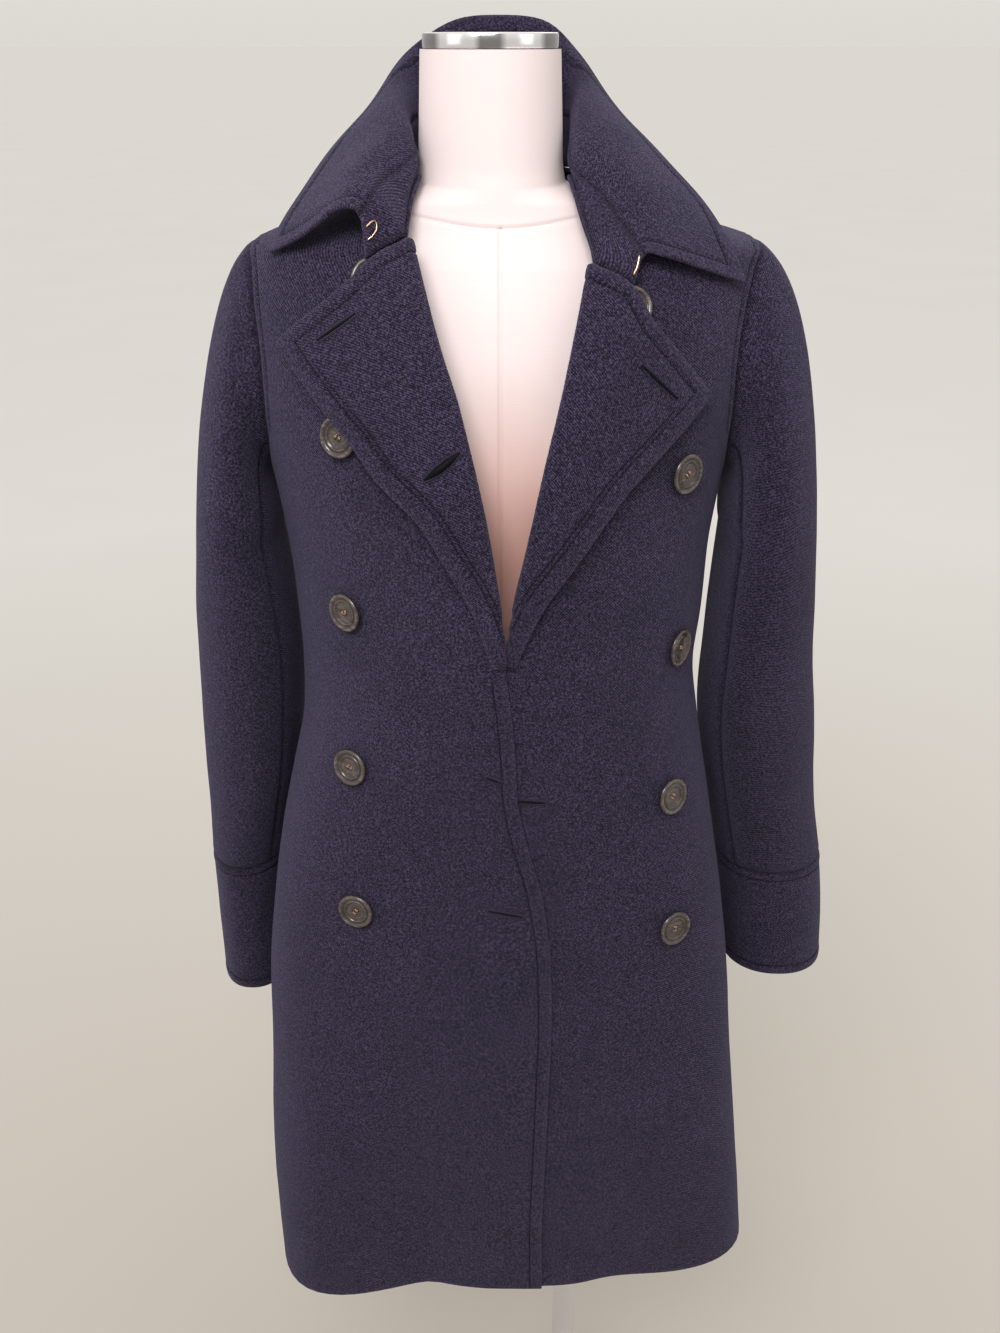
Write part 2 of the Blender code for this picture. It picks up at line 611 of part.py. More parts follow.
def lapel_height(z, distance):
    """Height of the lapel's shown face over the front, a distance from the roll line."""
    beside = fold_size(z)[1]
    rise = (LAPEL_RISE - FOLD_RISE) * ease((z - BREAK_Z) / 0.110)
    return beside + rise * ease(distance / ROLL_WIDTH)


def lapel_row(side, v):
    """One row of a lapel's shown face: round the fold, then out to the edge."""
    start = lapel_place(side, v, 0)
    near = lapel_place(side, v - PLACE_STEP if v > 0.5 else v + PLACE_STEP, 0)
    radius, height = fold_size(start.y)
    bed = front_surface(side, start.x + side * radius, start.y)
    other = front_surface(side, near.x + side * radius, near.y)
    normal = body_normal(front_angle(start.x + side * radius, start.y), start.y)
    inward = normal.cross(other - bed).normalized()
    if inward.x * side > 0:
        inward = -inward
    middle = bed + normal * (height - BODY_WALL) / 2
    row, looks = [], []
    for turn in range(FOLD_STEPS):
        angle = math.pi * turn / FOLD_STEPS
        looks.append(inward * math.sin(angle) - normal * math.cos(angle))
        row.append(middle + radius * looks[-1])
    for w in LAPEL_ACROSS:
        place = lapel_place(side, v, w)
        place.x += side * radius * (1 - w)
        distance = (place - start).length - radius
        rise = lapel_height(place.y, max(distance, 0))
        row.append(front_surface(side, place.x, place.y, rise))
    return row, looks


def lapel_grid(side):
    """Lapel rows from the break to the gorge, level with the front's rows, and normals."""
    low, top = (LAPEL_OUTER_RIGHT if side < 0 else LAPEL_OUTER_LEFT)[0].z, roll_top(side)
    heights = [low] + [z for z in panel_heights() if low + 0.01 < z < top - 0.001] + [top]
    rows = [lapel_row(side, (z - low) / (top - low)) for z in heights]
    grid = [row for row, looks in rows]
    normals = grid_normals(grid, away_from_axis)
    for line, (row, looks) in zip(normals, rows):
        line[:FOLD_STEPS] = looks
    return grid, normals


def make_lapels():
    """Lapels, turned back on the fronts round an open fold."""
    for side, word in ((-1, "right"), (1, "left")):
        grid, normals = lapel_grid(side)
        shell(f"lapel_{word}", grid, normals, LAPEL_WALL)


def lapel_top_point(side, w):
    """Point of a lapel's top border."""
    start, place = lapel_place(side, 1, 0), lapel_place(side, 1, w)
    radius = fold_size(start.y)[0]
    place.x += side * radius * (1 - w)
    distance = max((place - start).length - radius, 0)
    return front_surface(side, place.x, place.y, lapel_height(place.y, distance))


def gorge_point(side, w):
    """Point a seam gap off the lapel's top border, where the collar starts."""
    point = lapel_top_point(side, w)
    along = lapel_top_point(side, w + PLACE_STEP) - point
    normal = body_normal(front_angle(point.x, point.z), min(point.z, GORGE_RIGHT_Z))
    away = along.cross(normal).normalized()
    if away.z < 0:
        away = -away
    return point + away * (GORGE_GAP + FOLD_CLEAR * (1 - ease(w / LAPEL_ACROSS[1])))


def collar_base(side, s):
    """Collar's seam on the coat: back neck, front neckline, then the gorge."""
    if s <= COLLAR_SIDE_S:
        angle = side * (BACK_ANGLE - (BACK_ANGLE - SIDE_ANGLE) * s / COLLAR_SIDE_S)
        point, normal = body_point(angle, NECK_Z), body_normal(angle, NECK_Z)
        return point + normal * (SEAM_GAP + BASE_RISES[0])
    neck = NECK_RIGHT if side < 0 else NECK_LEFT
    if s < COLLAR_FRONT_S:
        corner = front_angle(neck[-1].x, NECK_Z)
        along = (s - COLLAR_SIDE_S) / (COLLAR_FRONT_S - COLLAR_SIDE_S)
        angle = side * SIDE_ANGLE + (corner - side * SIDE_ANGLE) * along
        rise = SEAM_GAP + BASE_RISES[0] + (BASE_RISES[1] - BASE_RISES[0]) * along
        return body_point(angle, NECK_Z) + body_normal(angle, NECK_Z) * rise
    if s < COLLAR_ROLL_S:
        along = (s - COLLAR_FRONT_S) / (COLLAR_ROLL_S - COLLAR_FRONT_S)
        z = NECK_Z + (roll_top(side) - NECK_Z) * along
        rise = SEAM_GAP + BASE_RISES[1] + (BASE_RISES[2] - BASE_RISES[1]) * along ** 0.5
        return front_surface(side, smooth(neck, z).x, z, rise)
    gorge_w = (LAPEL_TOP_RIGHT if side < 0 else LAPEL_TOP_LEFT)[1].step
    return gorge_point(side, gorge_w * (s - COLLAR_ROLL_S) / (1 - COLLAR_ROLL_S))


def collar_line(s):
    """Points up one line of the collar, from its seam on the coat to its free edge."""
    line = [collar_base(-1 if s < 0 else 1, abs(s))]
    for name in Profile._fields[1:]:
        track = [Place(row.s, *getattr(row, name)) for row in COLLAR]
        line.append(Vector(smooth(track, s)[1:]))
    return line


def collar_grid(first, last, rows):
    """Rows of the collar between two of its lines' points, round from right to left."""
    columns = []
    for s in [-s for s in COLLAR_STATIONS[:0:-1]] + list(COLLAR_STATIONS):
        line = collar_line(s)
        curve = [Place(k, *point) for k, point in enumerate(line)]
        steps = [first + (last - first) * row / rows for row in range(rows + 1)]
        columns.append([Vector(smooth(curve, at)[1:]) for at in steps])
    return [list(row) for row in zip(*columns)]


def toward_neck(point):
    """Direction of the collar's shown face: to the neck, and up at the points."""
    return Vector((-point.x, -point.y - 0.02, 0.05))


def make_collar():
    """Collar stand and fall, standing up at the back and open to its points."""
    stand = collar_grid(0, 1, STAND_ROWS)
    fall = collar_grid(1, 4, FALL_ROWS)
    whole = stand + fall[1:]
    normals = grid_normals(whole, toward_neck)
    for name, grid, lines in (("collar_stand", stand, normals[:STAND_ROWS + 1]),
                              ("collar_fall", fall, normals[STAND_ROWS:])):
        grid = trim_border(grid, top=name == "collar_stand", bottom=name == "collar_fall",
                           first=False, last=False, gap=2 * SEAM_GAP)
        shell(name, grid, lines, COLLAR_WALL)


def sleeve_ring(side, z, columns):
    """Level section of a sleeve, from its inner side round by the front."""
    row = smooth(SLEEVE_LEFT if side > 0 else SLEEVE_RIGHT, z)
    ring = []
    for column in range(columns):
        turn = math.pi + 2 * math.pi * column / columns
        across = power(math.cos(turn), 2 / SLEEVE_SQUARE)
        ahead = power(math.sin(turn), 2 / SLEEVE_SQUARE)
        ring.append(Vector((row.middle_x + side * row.half_width * across,
                            row.middle_y + row.half_depth * ahead, z)))
    return ring


def armhole_ring(side):
    """Armhole from the underarm up the front and down the back: points, normals, inward."""
    heights = armhole_heights()
    front = [(side * (SIDE_ANGLE - armhole_angle(z, ARMHOLE_FRONT)), z) for z in heights]
    back = [(side * (SIDE_ANGLE + armhole_angle(z, ARMHOLE_BACK)), z) for z in heights]
    spots = front + back[-2:0:-1]
    points = [body_point(*spot) for spot in spots]
    normals = [body_normal(*spot) for spot in spots]
    centre = sum(points, Vector()) / len(points)
    inward = []
    for k, point in enumerate(points):
        along = points[(k + 1) % len(points)] - points[k - 1]
        into = normals[k].cross(along).normalized()
        inward.append(into if into.dot(centre - point) > 0 else -into)
    return points, normals, inward


def cap_point(side, a, b, u):
    """Point of a sleeve's cap, from a on the armhole at u = 0 to b on the sleeve at u = 1."""
    high = (a.z - UNDERARM_Z) / (SHOULDER_TIP_Z - UNDERARM_Z)
    pull = CAP_PULL_LEFT if side > 0 else CAP_PULL_RIGHT
    out = Vector((side, (b.y - a.y) * CAP_SPREAD, -CAP_DROOP * high))
    out *= CAP_PULL_LOW + (pull - CAP_PULL_LOW) * high
    down = Vector((side * CAP_OUT, 0, -(a.z - b.z) * CAP_FALL))
    return hermite(a, b, out, down, u)


def sleeve_grid(side):
    """Rows of a whole sleeve, from the armhole over the cap and down to the cuff seam."""
    start, edge_normals, inward = armhole_ring(side)
    start = [a + into * SEAM_GAP for a, into in zip(start, inward)]
    below = sleeve_ring(side, SLEEVE_LEFT[-1].z, len(start))
    grid = []
    for row in range(CAP_STEPS + 1):
        grid.append([cap_point(side, a, b, row / CAP_STEPS) for a, b in zip(start, below)])
    for z in (*SLEEVE_ROWS, CUFF_SEAM_Z + SEAM_GAP):
        grid.append(sleeve_ring(side, z, len(start)))
    normals = grid_normals(grid, away_from_sleeve(side), closed=True)
    for k, a in enumerate(start):
        high = (a.z - UNDERARM_Z) / (SHOULDER_TIP_Z - UNDERARM_Z)
        normals[0][k] = normals[0][k].lerp(edge_normals[k], ease(high * 2)).normalized()
    return grid, normals


def away_from_sleeve(side):
    """Direction out of a sleeve."""
    def out(point):
        row = smooth(SLEEVE_LEFT if side > 0 else SLEEVE_RIGHT, point.z)
        return Vector((point.x - row.middle_x, point.y - row.middle_y, 0))
    return out


def make_sleeves():
    """Top and under sleeves with their cuff bands."""
    seam = ARMHOLE_STEPS // 4
    for side, word in ((-1, "right"), (1, "left")):
        grid, normals = sleeve_grid(side)
        count = len(grid[0])
        top = list(range(seam, count - seam + 1))
        under = list(range(count - seam, count)) + list(range(seam + 1))
        normals[-1] = [Vector((n.x, n.y, 0)).normalized() for n in normals[-1]]
        for name, chosen in (("sleeve_top", top), ("sleeve_under", under)):
            part = [[line[j] for j in chosen] for line in grid]
            lines = [[line[j] for j in chosen] for line in normals]
            part = trim_border(part, top=False, bottom=False)
            shell(f"{name}_{word}", part, lines, BODY_WALL)
        hem = (SLEEVE_LEFT if side > 0 else SLEEVE_RIGHT)[0].z
        cuff = [sleeve_ring(side, z, count) for z in (CUFF_SEAM_Z, *CUFF_ROWS, hem)]
        lines = grid_normals(cuff, away_from_sleeve(side), closed=True)
        lines[0] = normals[-1]
        shell(f"cuff_{word}", cuff, lines, BODY_WALL, closed=True)


def ring_spots(axis, radius):
    """Offsets round a ring that is square to an axis."""
    turn = axis.to_track_quat("Z", "Y")
    steps = [2 * math.pi * step / BUTTON_SIDES for step in range(BUTTON_SIDES)]
    return [turn @ Vector((radius * math.cos(a), radius * math.sin(a), 0)) for a in steps]


def make_buttons():
    """Buttons with thread shanks, seated on the fronts."""
    for side, word, places in ((-1, "right", BUTTONS_RIGHT), (1, "left", BUTTONS_LEFT)):
        front = bpy.data.objects[f"front_{word}"]
        tree = BVHTree.FromObject(front, bpy.context.evaluated_depsgraph_get())
        for number, place in enumerate(places, start=1):
            normal = body_normal(front_angle(place.x, place.z), place.z)
            above = front_surface(side, place.x, place.z, BUTTON_REACH)
            hits = [tree.ray_cast(above + spot, -normal) for spot in
                    ring_spots(normal, BUTTON_PROFILE[4][0] / 2)]
            axis = sum((hit[1] for hit in hits), Vector()).normalized()
            drops = []
            for radius, height in BUTTON_PROFILE[:5]:
                for spot in ring_spots(axis, radius):
                    drops.append(tree.ray_cast(above + spot, -axis)[3] + height)
            button = turned(f"button_{word}_{number}", BUTTON_PROFILE, BUTTON_SIDES, "horn")
            button.location = above - axis * (min(drops) - SEAM_GAP)
            button.rotation_mode = "QUATERNION"
            button.rotation_quaternion = axis.to_track_quat("Z", "Y")


def wire(name, points):
    """Round wire along a route, with closed ends."""
    curve = bpy.data.curves.new(name, "CURVE")
    curve.dimensions = "3D"
    curve.bevel_depth = WIRE_RADIUS
    curve.bevel_resolution = 1
    curve.use_fill_caps = True
    spline = curve.splines.new("POLY")
    spline.points.add(len(points) - 1)
    for slot, point in zip(spline.points, points):
        slot.co = (*point, 1)
    thing = bpy.data.objects.new(name, curve)
    bpy.context.collection.objects.link(thing)
    curve.materials.append(material(name, "brass"))
    return thing


def make_hook_and_eye():
    """Wire hook and eye on the front ends of the collar stand."""
    stand = bpy.data.objects["collar_stand"]
    tree = BVHTree.FromObject(stand, bpy.context.evaluated_depsgraph_get())
    for name, s, route in (("collar_eye", -1.0, EYE_ROUTE), ("collar_hook", 1.0, HOOK_ROUTE)):
        end, inner = collar_line(s), collar_line(s * 0.9)
        middle = end[0].lerp(end[1], 0.5)
        along = (inner[0].lerp(inner[1], 0.5) - middle).normalized()
        up = (end[1] - end[0]).normalized()
        out = up.cross(along)
        if out.y > 0:
            out = -out
        points = []
        for across, rise in route:
            place = middle + along * across + up * rise
            spot, normal, _, _ = tree.ray_cast(place + out * WIRE_REACH, -out)
            points.append(spot + (normal + out).normalized() * WIRE_RISE)
        wire(name, points)


def form_point(angle, z):
    """Point of the dress form's body below its neck, with the bust rounded out."""
    if z > FORM[-1].z:
        coat = smooth(BODY, z + FORM_SEAT)
        section = coat._replace(
            z=z, front=smooth(FORM_CHEST, z).x, back=coat.back - 0.004,
            right=min(coat.right, FORM_SHOULDER), left=min(coat.left, FORM_SHOULDER))
    else:
        section = smooth(FORM, z)._replace(z=z)
    point = section_point(section, angle)
    if point.y < 0:
        for x in (-BUST_X, BUST_X):
            away = math.hypot(point.x - x, point.z - BUST_Z) / BUST_SPREAD
            point.y -= BUST_RISE * math.exp(-away * away)
    return point


def make_form():
    """Limbless dress form with its neck, closed at the foot and under the cap."""
    angles = [360 * column / FORM_COLUMNS for column in range(FORM_COLUMNS)]
    rings = [[form_point(angle, z) for angle in angles] for z in FORM_BODY_Z]
    for row in FORM_NECK:
        rings.append([section_point(row, angle) for angle in angles])
    bm = bmesh.new()
    loops = [[bm.verts.new(point) for point in ring] for ring in rings]
    for low, high in zip(loops, loops[1:]):
        for j in range(FORM_COLUMNS):
            k = (j + 1) % FORM_COLUMNS
            bm.faces.new((low[j], low[k], high[k], high[j]))
    bm.faces.new(loops[0])
    bm.faces.new(loops[-1])
    new_object("form_torso", bm, "jersey")


def make_stand():
    """Base plate, pole and neck cap."""
    collar_radius, collar_height, bevel = 0.022, 0.034, 0.003
    plate = turned("stand_base", (
        (0, 0), (PLATE_RADIUS - bevel, 0), (PLATE_RADIUS, bevel),
        (PLATE_RADIUS, PLATE_HEIGHT - bevel), (PLATE_RADIUS - bevel, PLATE_HEIGHT),
        (collar_radius + bevel, PLATE_HEIGHT + bevel), (collar_radius, PLATE_HEIGHT + 2 * bevel),
        (collar_radius, collar_height), (0, collar_height)), 40, "chrome")
    plate.location = (POLE_X, POLE_Y, 0)
    low, high = collar_height + SEAM_GAP, FORM_FOOT_Z - SEAM_GAP
    pole = turned("stand_pole", ((0, low), (POLE_RADIUS, low), (POLE_RADIUS, high), (0, high)),
                  20, "chrome")
    pole.location = (POLE_X, POLE_Y, 0)
    round_edge = 0.0015
    cap = turned("neck_cap", (
        (0, CAP_LOW_Z), (CAP_RADIUS - round_edge, CAP_LOW_Z),
        (CAP_RADIUS, CAP_LOW_Z + round_edge), (CAP_RADIUS, CAP_HIGH_Z - round_edge),
        (CAP_RADIUS - round_edge, CAP_HIGH_Z), (0, CAP_HIGH_Z)), 32, "chrome")
    cap.location = (NECK_MIDDLE_X, 0, 0)


def main():
    """Build the coat and its form in an empty scene."""
    for thing in list(bpy.data.objects):
        bpy.data.objects.remove(thing, do_unlink=True)
    make_stand()
    make_form()
    make_body()
    make_half_belt()
    make_lapels()
    make_collar()
    make_sleeves()
    make_buttons()
    make_hook_and_eye()


main()
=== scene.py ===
"""Double-breasted wool coat on a dress form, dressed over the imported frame.

Metres, +Z up, the coat's front towards -Y. Left and right are the wearer's: the wearer's right is
-X. The cloth's surfaces are worked out from the coat's own measures, sampled finely, given rounded
edges, pressed seams and stitch grooves, and closed to a wall of the cloth's thickness.
"""
import math
from collections import namedtuple
from functools import lru_cache

import bmesh
import bpy
import numpy as np
from bpy.props import FloatProperty, FloatVectorProperty, PointerProperty
from mathutils import Euler, Matrix, Vector, noise
from mathutils.bvhtree import BVHTree
from mathutils.kdtree import KDTree


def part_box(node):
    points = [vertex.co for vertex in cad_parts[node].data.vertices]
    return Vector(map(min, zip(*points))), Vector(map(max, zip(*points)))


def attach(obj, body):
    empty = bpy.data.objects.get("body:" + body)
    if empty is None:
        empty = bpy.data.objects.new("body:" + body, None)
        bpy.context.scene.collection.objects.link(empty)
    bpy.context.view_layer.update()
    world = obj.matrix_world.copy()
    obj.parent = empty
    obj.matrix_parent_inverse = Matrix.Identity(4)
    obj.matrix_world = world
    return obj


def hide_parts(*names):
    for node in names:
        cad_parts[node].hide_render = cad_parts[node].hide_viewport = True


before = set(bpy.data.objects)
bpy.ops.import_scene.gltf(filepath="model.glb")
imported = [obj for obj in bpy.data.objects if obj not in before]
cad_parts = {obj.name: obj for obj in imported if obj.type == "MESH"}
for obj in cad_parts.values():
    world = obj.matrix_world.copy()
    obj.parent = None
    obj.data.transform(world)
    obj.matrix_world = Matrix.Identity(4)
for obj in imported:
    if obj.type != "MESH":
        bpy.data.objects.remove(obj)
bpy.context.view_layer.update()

bl_info = {
    "name": "Double-breasted wool coat",
    "version": (1, 0, 0),
    "blender": (4, 5, 0),
    "location": "View3D > Sidebar > Coat",
    "description": "Cloth, sewing, buttons, dress form and studio of a double-breasted wool coat",
    "category": "Object",
}

# Cloth thickness and seams
BODY_WALL = 0.0025
LAPEL_WALL = 0.0030
COLLAR_WALL = 0.0040
SEAM_GAP = 0.0003

# Heights of the coat
HEM_Z = 0.382
WAIST_LOW_Z = 1.010
WAIST_HIGH_Z = 1.045
BREAK_Z = 1.057
UNDERARM_Z = 1.172
SHOULDER_TIP_Z = 1.353
NECK_Z = 1.402
GORGE_RIGHT_Z = 1.361
GORGE_LEFT_Z = 1.3461

# Side seam and centre back as angles round the body from the centre front, and how far the
# armhole reaches to the front and back of the side seam
SIDE_ANGLE = 92.0
BACK_ANGLE = 180.0
ARMHOLE_FRONT = 18.5
ARMHOLE_BACK = 14.0

# Lapel roll: heights of its shown face over the front, at the fold and away from it
LAPEL_BED = 0.0012
FOLD_RISE, FOLD_GROWTH = 0.0030, 0.080
LAPEL_RISE, LAPEL_GROWTH = 0.0075, 0.110
ROLL_WIDTH = 0.020
GORGE_GAP, FOLD_CLEAR, GORGE_REACH = 0.0006, 0.0014, 0.125
NORMAL_STEP_Z, NORMAL_TURN = 0.0015, 1.0
PLACE_STEP = 0.02

# Overlap of the fronts: how far the upper front stands off the lower one, and where it does
LAP_LIFT, LAP_START_X, LAP_REACH_X, LAP_TOP_Z, LAP_REACH_Z = 0.0034, -0.050, 0.045, 1.130, 0.060

# Dress form and its stand
NECK_MIDDLE_X = -0.007
FORM_SEAT, FORM_SHOULDER, FORM_BACK_GAP = 0.0036, 0.178, 0.004
POLE_RADIUS, POLE_LOW_Z, POLE_HIGH_Z = 0.0120, 0.0343, 0.759
SOCKET_RADIUS, SOCKET_TOP_Z = 0.022, 0.034
CAP_RADIUS, CAP_HEIGHT = 0.0500, 0.0108

RIGHT, LEFT = -1, 1
SIDES = {RIGHT: "right", LEFT: "left"}

Section = namedtuple("Section", "z right left front back middle square")
Sleeve = namedtuple("Sleeve", "z middle_x half_width middle_y half_depth")
Edge = namedtuple("Edge", "z x")
Fold = namedtuple("Fold", "angle width depth top")
Outline = namedtuple("Outline", "step x z")
Profile = namedtuple("Profile", "s seam crest middle edge")
Place = namedtuple("Place", "s x y z")
Spot = namedtuple("Spot", "step radius height")
Stitching = namedtuple("Stitching", "piece borders insets low high")
Buttonhole = namedtuple("Buttonhole", "x0 z0 x1 z1 opening")
Light = namedtuple("Light", "name place aim size power colour spread")

# Body of the coat: half widths, depths to front and back, where it is widest, squareness
BODY = (
    Section(0.382, 0.2200, 0.243, 0.135, 0.147, -0.030, 2.9),
    Section(0.500, 0.2240, 0.232, 0.135, 0.144, -0.032, 2.8),
    Section(0.620, 0.2190, 0.220, 0.136, 0.141, -0.034, 2.7),
    Section(0.720, 0.214, 0.211, 0.137, 0.138, -0.034, 2.6),
    Section(0.800, 0.204, 0.200, 0.138, 0.133, -0.032, 2.5),
    Section(0.860, 0.194, 0.190, 0.140, 0.125, -0.028, 2.4),
    Section(0.910, 0.183, 0.181, 0.142, 0.115, -0.024, 2.3),
    Section(0.960, 0.172, 0.172, 0.145, 0.102, -0.018, 2.2),
    Section(1.010, 0.1695, 0.166, 0.148, 0.093, -0.012, 2.1),
    Section(1.060, 0.172, 0.172, 0.150, 0.097, -0.006, 2.0),
    Section(1.120, 0.178, 0.176, 0.152, 0.110, 0.0, 2.0),
    Section(1.180, 0.187, 0.184, 0.152, 0.119, 0.0, 2.0),
    Section(1.240, 0.196, 0.194, 0.147, 0.124, 0.0, 2.0),
    Section(1.280, 0.199, 0.198, 0.138, 0.122, 0.0, 2.0),
    Section(1.310, 0.200, 0.2005, 0.127, 0.117, 0.0, 2.0),
    Section(1.335, 0.196, 0.2015, 0.114, 0.111, 0.0, 2.0),
    Section(1.353, 0.188, 0.197, 0.102, 0.106, 0.0, 2.0),
    Section(1.370, 0.146, 0.142, 0.0895, 0.098, 0.0, 2.0),
    Section(1.385, 0.112, 0.103, 0.0785, 0.087, 0.0, 2.0),
    Section(1.402, 0.0685, 0.0565, 0.066, 0.073, 0.0, 2.0),
)

# Soft folds that open towards the hem
FOLDS = (
    Fold(-60.0, 14.0, 0.034, 0.74),
    Fold(-36.0, 10.0, -0.006, 0.75),
    Fold(52.0, 12.0, -0.010, 0.74),
    Fold(78.0, 12.0, 0.006, 0.80),
    Fold(124.0, 15.0, 0.009, 0.85),
    Fold(152.0, 13.0, -0.007, 0.85),
    Fold(-128.0, 14.0, 0.010, 0.85),
    Fold(-157.0, 12.0, -0.006, 0.80),
)

# Front edges, lapel roll lines and neckline of each front, seen from straight ahead
EDGES = {
    RIGHT: (
        Edge(0.382, 0.0410), Edge(0.459, 0.0400), Edge(0.546, 0.0420), Edge(0.629, 0.0440),
        Edge(0.707, 0.0455), Edge(0.781, 0.0430), Edge(0.807, 0.0400), Edge(0.847, 0.0335),
        Edge(0.893, 0.0220), Edge(0.933, 0.0145), Edge(0.972, 0.0125), Edge(1.009, 0.0095),
        Edge(1.045, 0.0055), Edge(1.057, 0.0045)),
    LEFT: (Edge(0.382, 0.0060), Edge(0.700, 0.0040), Edge(1.057, 0.0050)),
}
ROLLS = {
    RIGHT: (
        Edge(1.057, 0.0040), Edge(1.075, 0.0040), Edge(1.105, 0.0005), Edge(1.146, -0.0050),
        Edge(1.192, -0.0135), Edge(1.253, -0.0280), Edge(1.288, -0.0400), Edge(1.323, -0.0505),
        Edge(GORGE_RIGHT_Z, -0.0610)),
    LEFT: (
        Edge(1.057, 0.0050), Edge(1.072, 0.0055), Edge(1.114, 0.0110), Edge(1.145, 0.0175),
        Edge(1.209, 0.0310), Edge(1.266, 0.0450), Edge(1.309, 0.0540), Edge(GORGE_LEFT_Z, 0.0610)),
}
NECKS = {
    RIGHT: (
        Edge(GORGE_RIGHT_Z, -0.0665), Edge(1.380, -0.0645), Edge(1.390, -0.0625),
        Edge(1.398, -0.0595), Edge(1.402, -0.0580)),
    LEFT: (
        Edge(GORGE_LEFT_Z, 0.0665), Edge(1.358, 0.0645), Edge(1.375, 0.0585), Edge(1.390, 0.0540),
        Edge(1.398, 0.0515), Edge(1.402, 0.0500)),
}

# Lapel outlines: from the break up to the tip, and along the top from the roll line to the tip
LAPEL_OUTERS = {
    RIGHT: (
        Outline(0.00, -0.0060, 1.058), Outline(0.10, -0.0120, 1.077), Outline(0.20, -0.0210, 1.105),
        Outline(0.35, -0.0410, 1.1435), Outline(0.46, -0.0580, 1.172), Outline(0.60, -0.0870, 1.2015),
        Outline(0.71, -0.1050, 1.2255), Outline(0.82, -0.1270, 1.250), Outline(0.92, -0.1440, 1.270),
        Outline(1.00, -0.1605, 1.292)),
    LEFT: (
        Outline(0.00, 0.0125, 1.058), Outline(0.20, 0.0312, 1.104), Outline(0.40, 0.0573, 1.145),
        Outline(0.62, 0.0875, 1.1890), Outline(0.76, 0.1090, 1.212), Outline(0.91, 0.1365, 1.240),
        Outline(1.00, 0.1495, 1.2545)),
}
LAPEL_TOPS = {
    RIGHT: (
        Outline(0.00, -0.0610, GORGE_RIGHT_Z), Outline(0.25, -0.0885, 1.345),
        Outline(0.42, -0.1040, 1.3310), Outline(0.65, -0.1265, 1.3145),
        Outline(0.87, -0.1470, 1.2995), Outline(1.00, -0.1575, 1.290)),
    LEFT: (
        Outline(0.00, 0.0610, GORGE_LEFT_Z), Outline(0.25, 0.0880, 1.3305),
        Outline(0.47, 0.1030, 1.308), Outline(0.67, 0.1180, 1.292), Outline(0.85, 0.1345, 1.273),
        Outline(1.00, 0.1495, 1.2545)),
}

# Collar lines from the wearer's right end (s = -1) by the centre back (0) to the left end (1)
COLLAR_SIDE_S, COLLAR_FRONT_S, COLLAR_ROLL_S = 0.46, 0.58, 0.88
BASE_RISES = (0.0006, 0.0024, 0.0050)
COLLAR = (
    Profile(-1.00, (-0.0975, -0.100, 1.382), (-0.1155, -0.098, 1.386), (-0.143, -0.083, 1.366),
            (-0.1715, -0.058, 1.350)),
    Profile(-0.88, (-0.0890, -0.086, 1.396), (-0.108, -0.082, 1.400), (-0.136, -0.068, 1.384),
            (-0.1640, -0.046, 1.3675)),
    Profile(-0.76, (-0.0800, -0.065, 1.404), (-0.098, -0.060, 1.416), (-0.124, -0.048, 1.404),
            (-0.150, -0.033, 1.388)),
    Profile(-0.62, (-0.0615, -0.034, 1.418), (-0.0755, -0.025, 1.436), (-0.102, -0.014, 1.433),
            (-0.130, -0.005, 1.416)),
    Profile(-0.46, (-0.0665, 0.003, 1.434), (-0.0740, 0.012, 1.451), (-0.0890, 0.029, 1.455),
            (-0.104, 0.046, 1.445)),
    Profile(-0.22, (-0.058, 0.058, 1.438), (-0.063, 0.063, 1.460), (-0.069, 0.069, 1.478),
            (-0.074, 0.077, 1.485)),
    Profile(-0.11, (-0.031, 0.074, 1.4375), (-0.034, 0.077, 1.461), (-0.037, 0.081, 1.486),
            (-0.038, 0.086, 1.507)),
    Profile(0.00, (-0.004, 0.079, 1.437), (-0.004, 0.081, 1.460), (-0.003, 0.084, 1.487),
            (-0.001, 0.090, 1.5115)),
    Profile(0.11, (0.024, 0.074, 1.4375), (0.027, 0.077, 1.461), (0.031, 0.081, 1.486),
            (0.036, 0.086, 1.507)),
    Profile(0.22, (0.050, 0.058, 1.438), (0.053, 0.063, 1.460), (0.057, 0.069, 1.479),
            (0.061, 0.077, 1.486)),
    Profile(0.46, (0.0525, 0.003, 1.433), (0.0600, 0.013, 1.450), (0.0760, 0.031, 1.454),
            (0.0935, 0.047, 1.443)),
    Profile(0.62, (0.0515, -0.036, 1.4110), (0.0655, -0.028, 1.428), (0.0930, -0.018, 1.429),
            (0.124, -0.008, 1.413)),
    Profile(0.76, (0.0735, -0.066, 1.391), (0.094, -0.062, 1.402), (0.124, -0.050, 1.397),
            (0.155, -0.034, 1.381)),
    Profile(0.88, (0.0885, -0.088, 1.3725), (0.108, -0.085, 1.379), (0.1395, -0.074, 1.3695),
            (0.1710, -0.062, 1.356)),
    Profile(1.00, (0.1015, -0.106, 1.3565), (0.118, -0.104, 1.3545), (0.147, -0.091, 1.344),
            (0.1835, -0.066, 1.3285)),
)

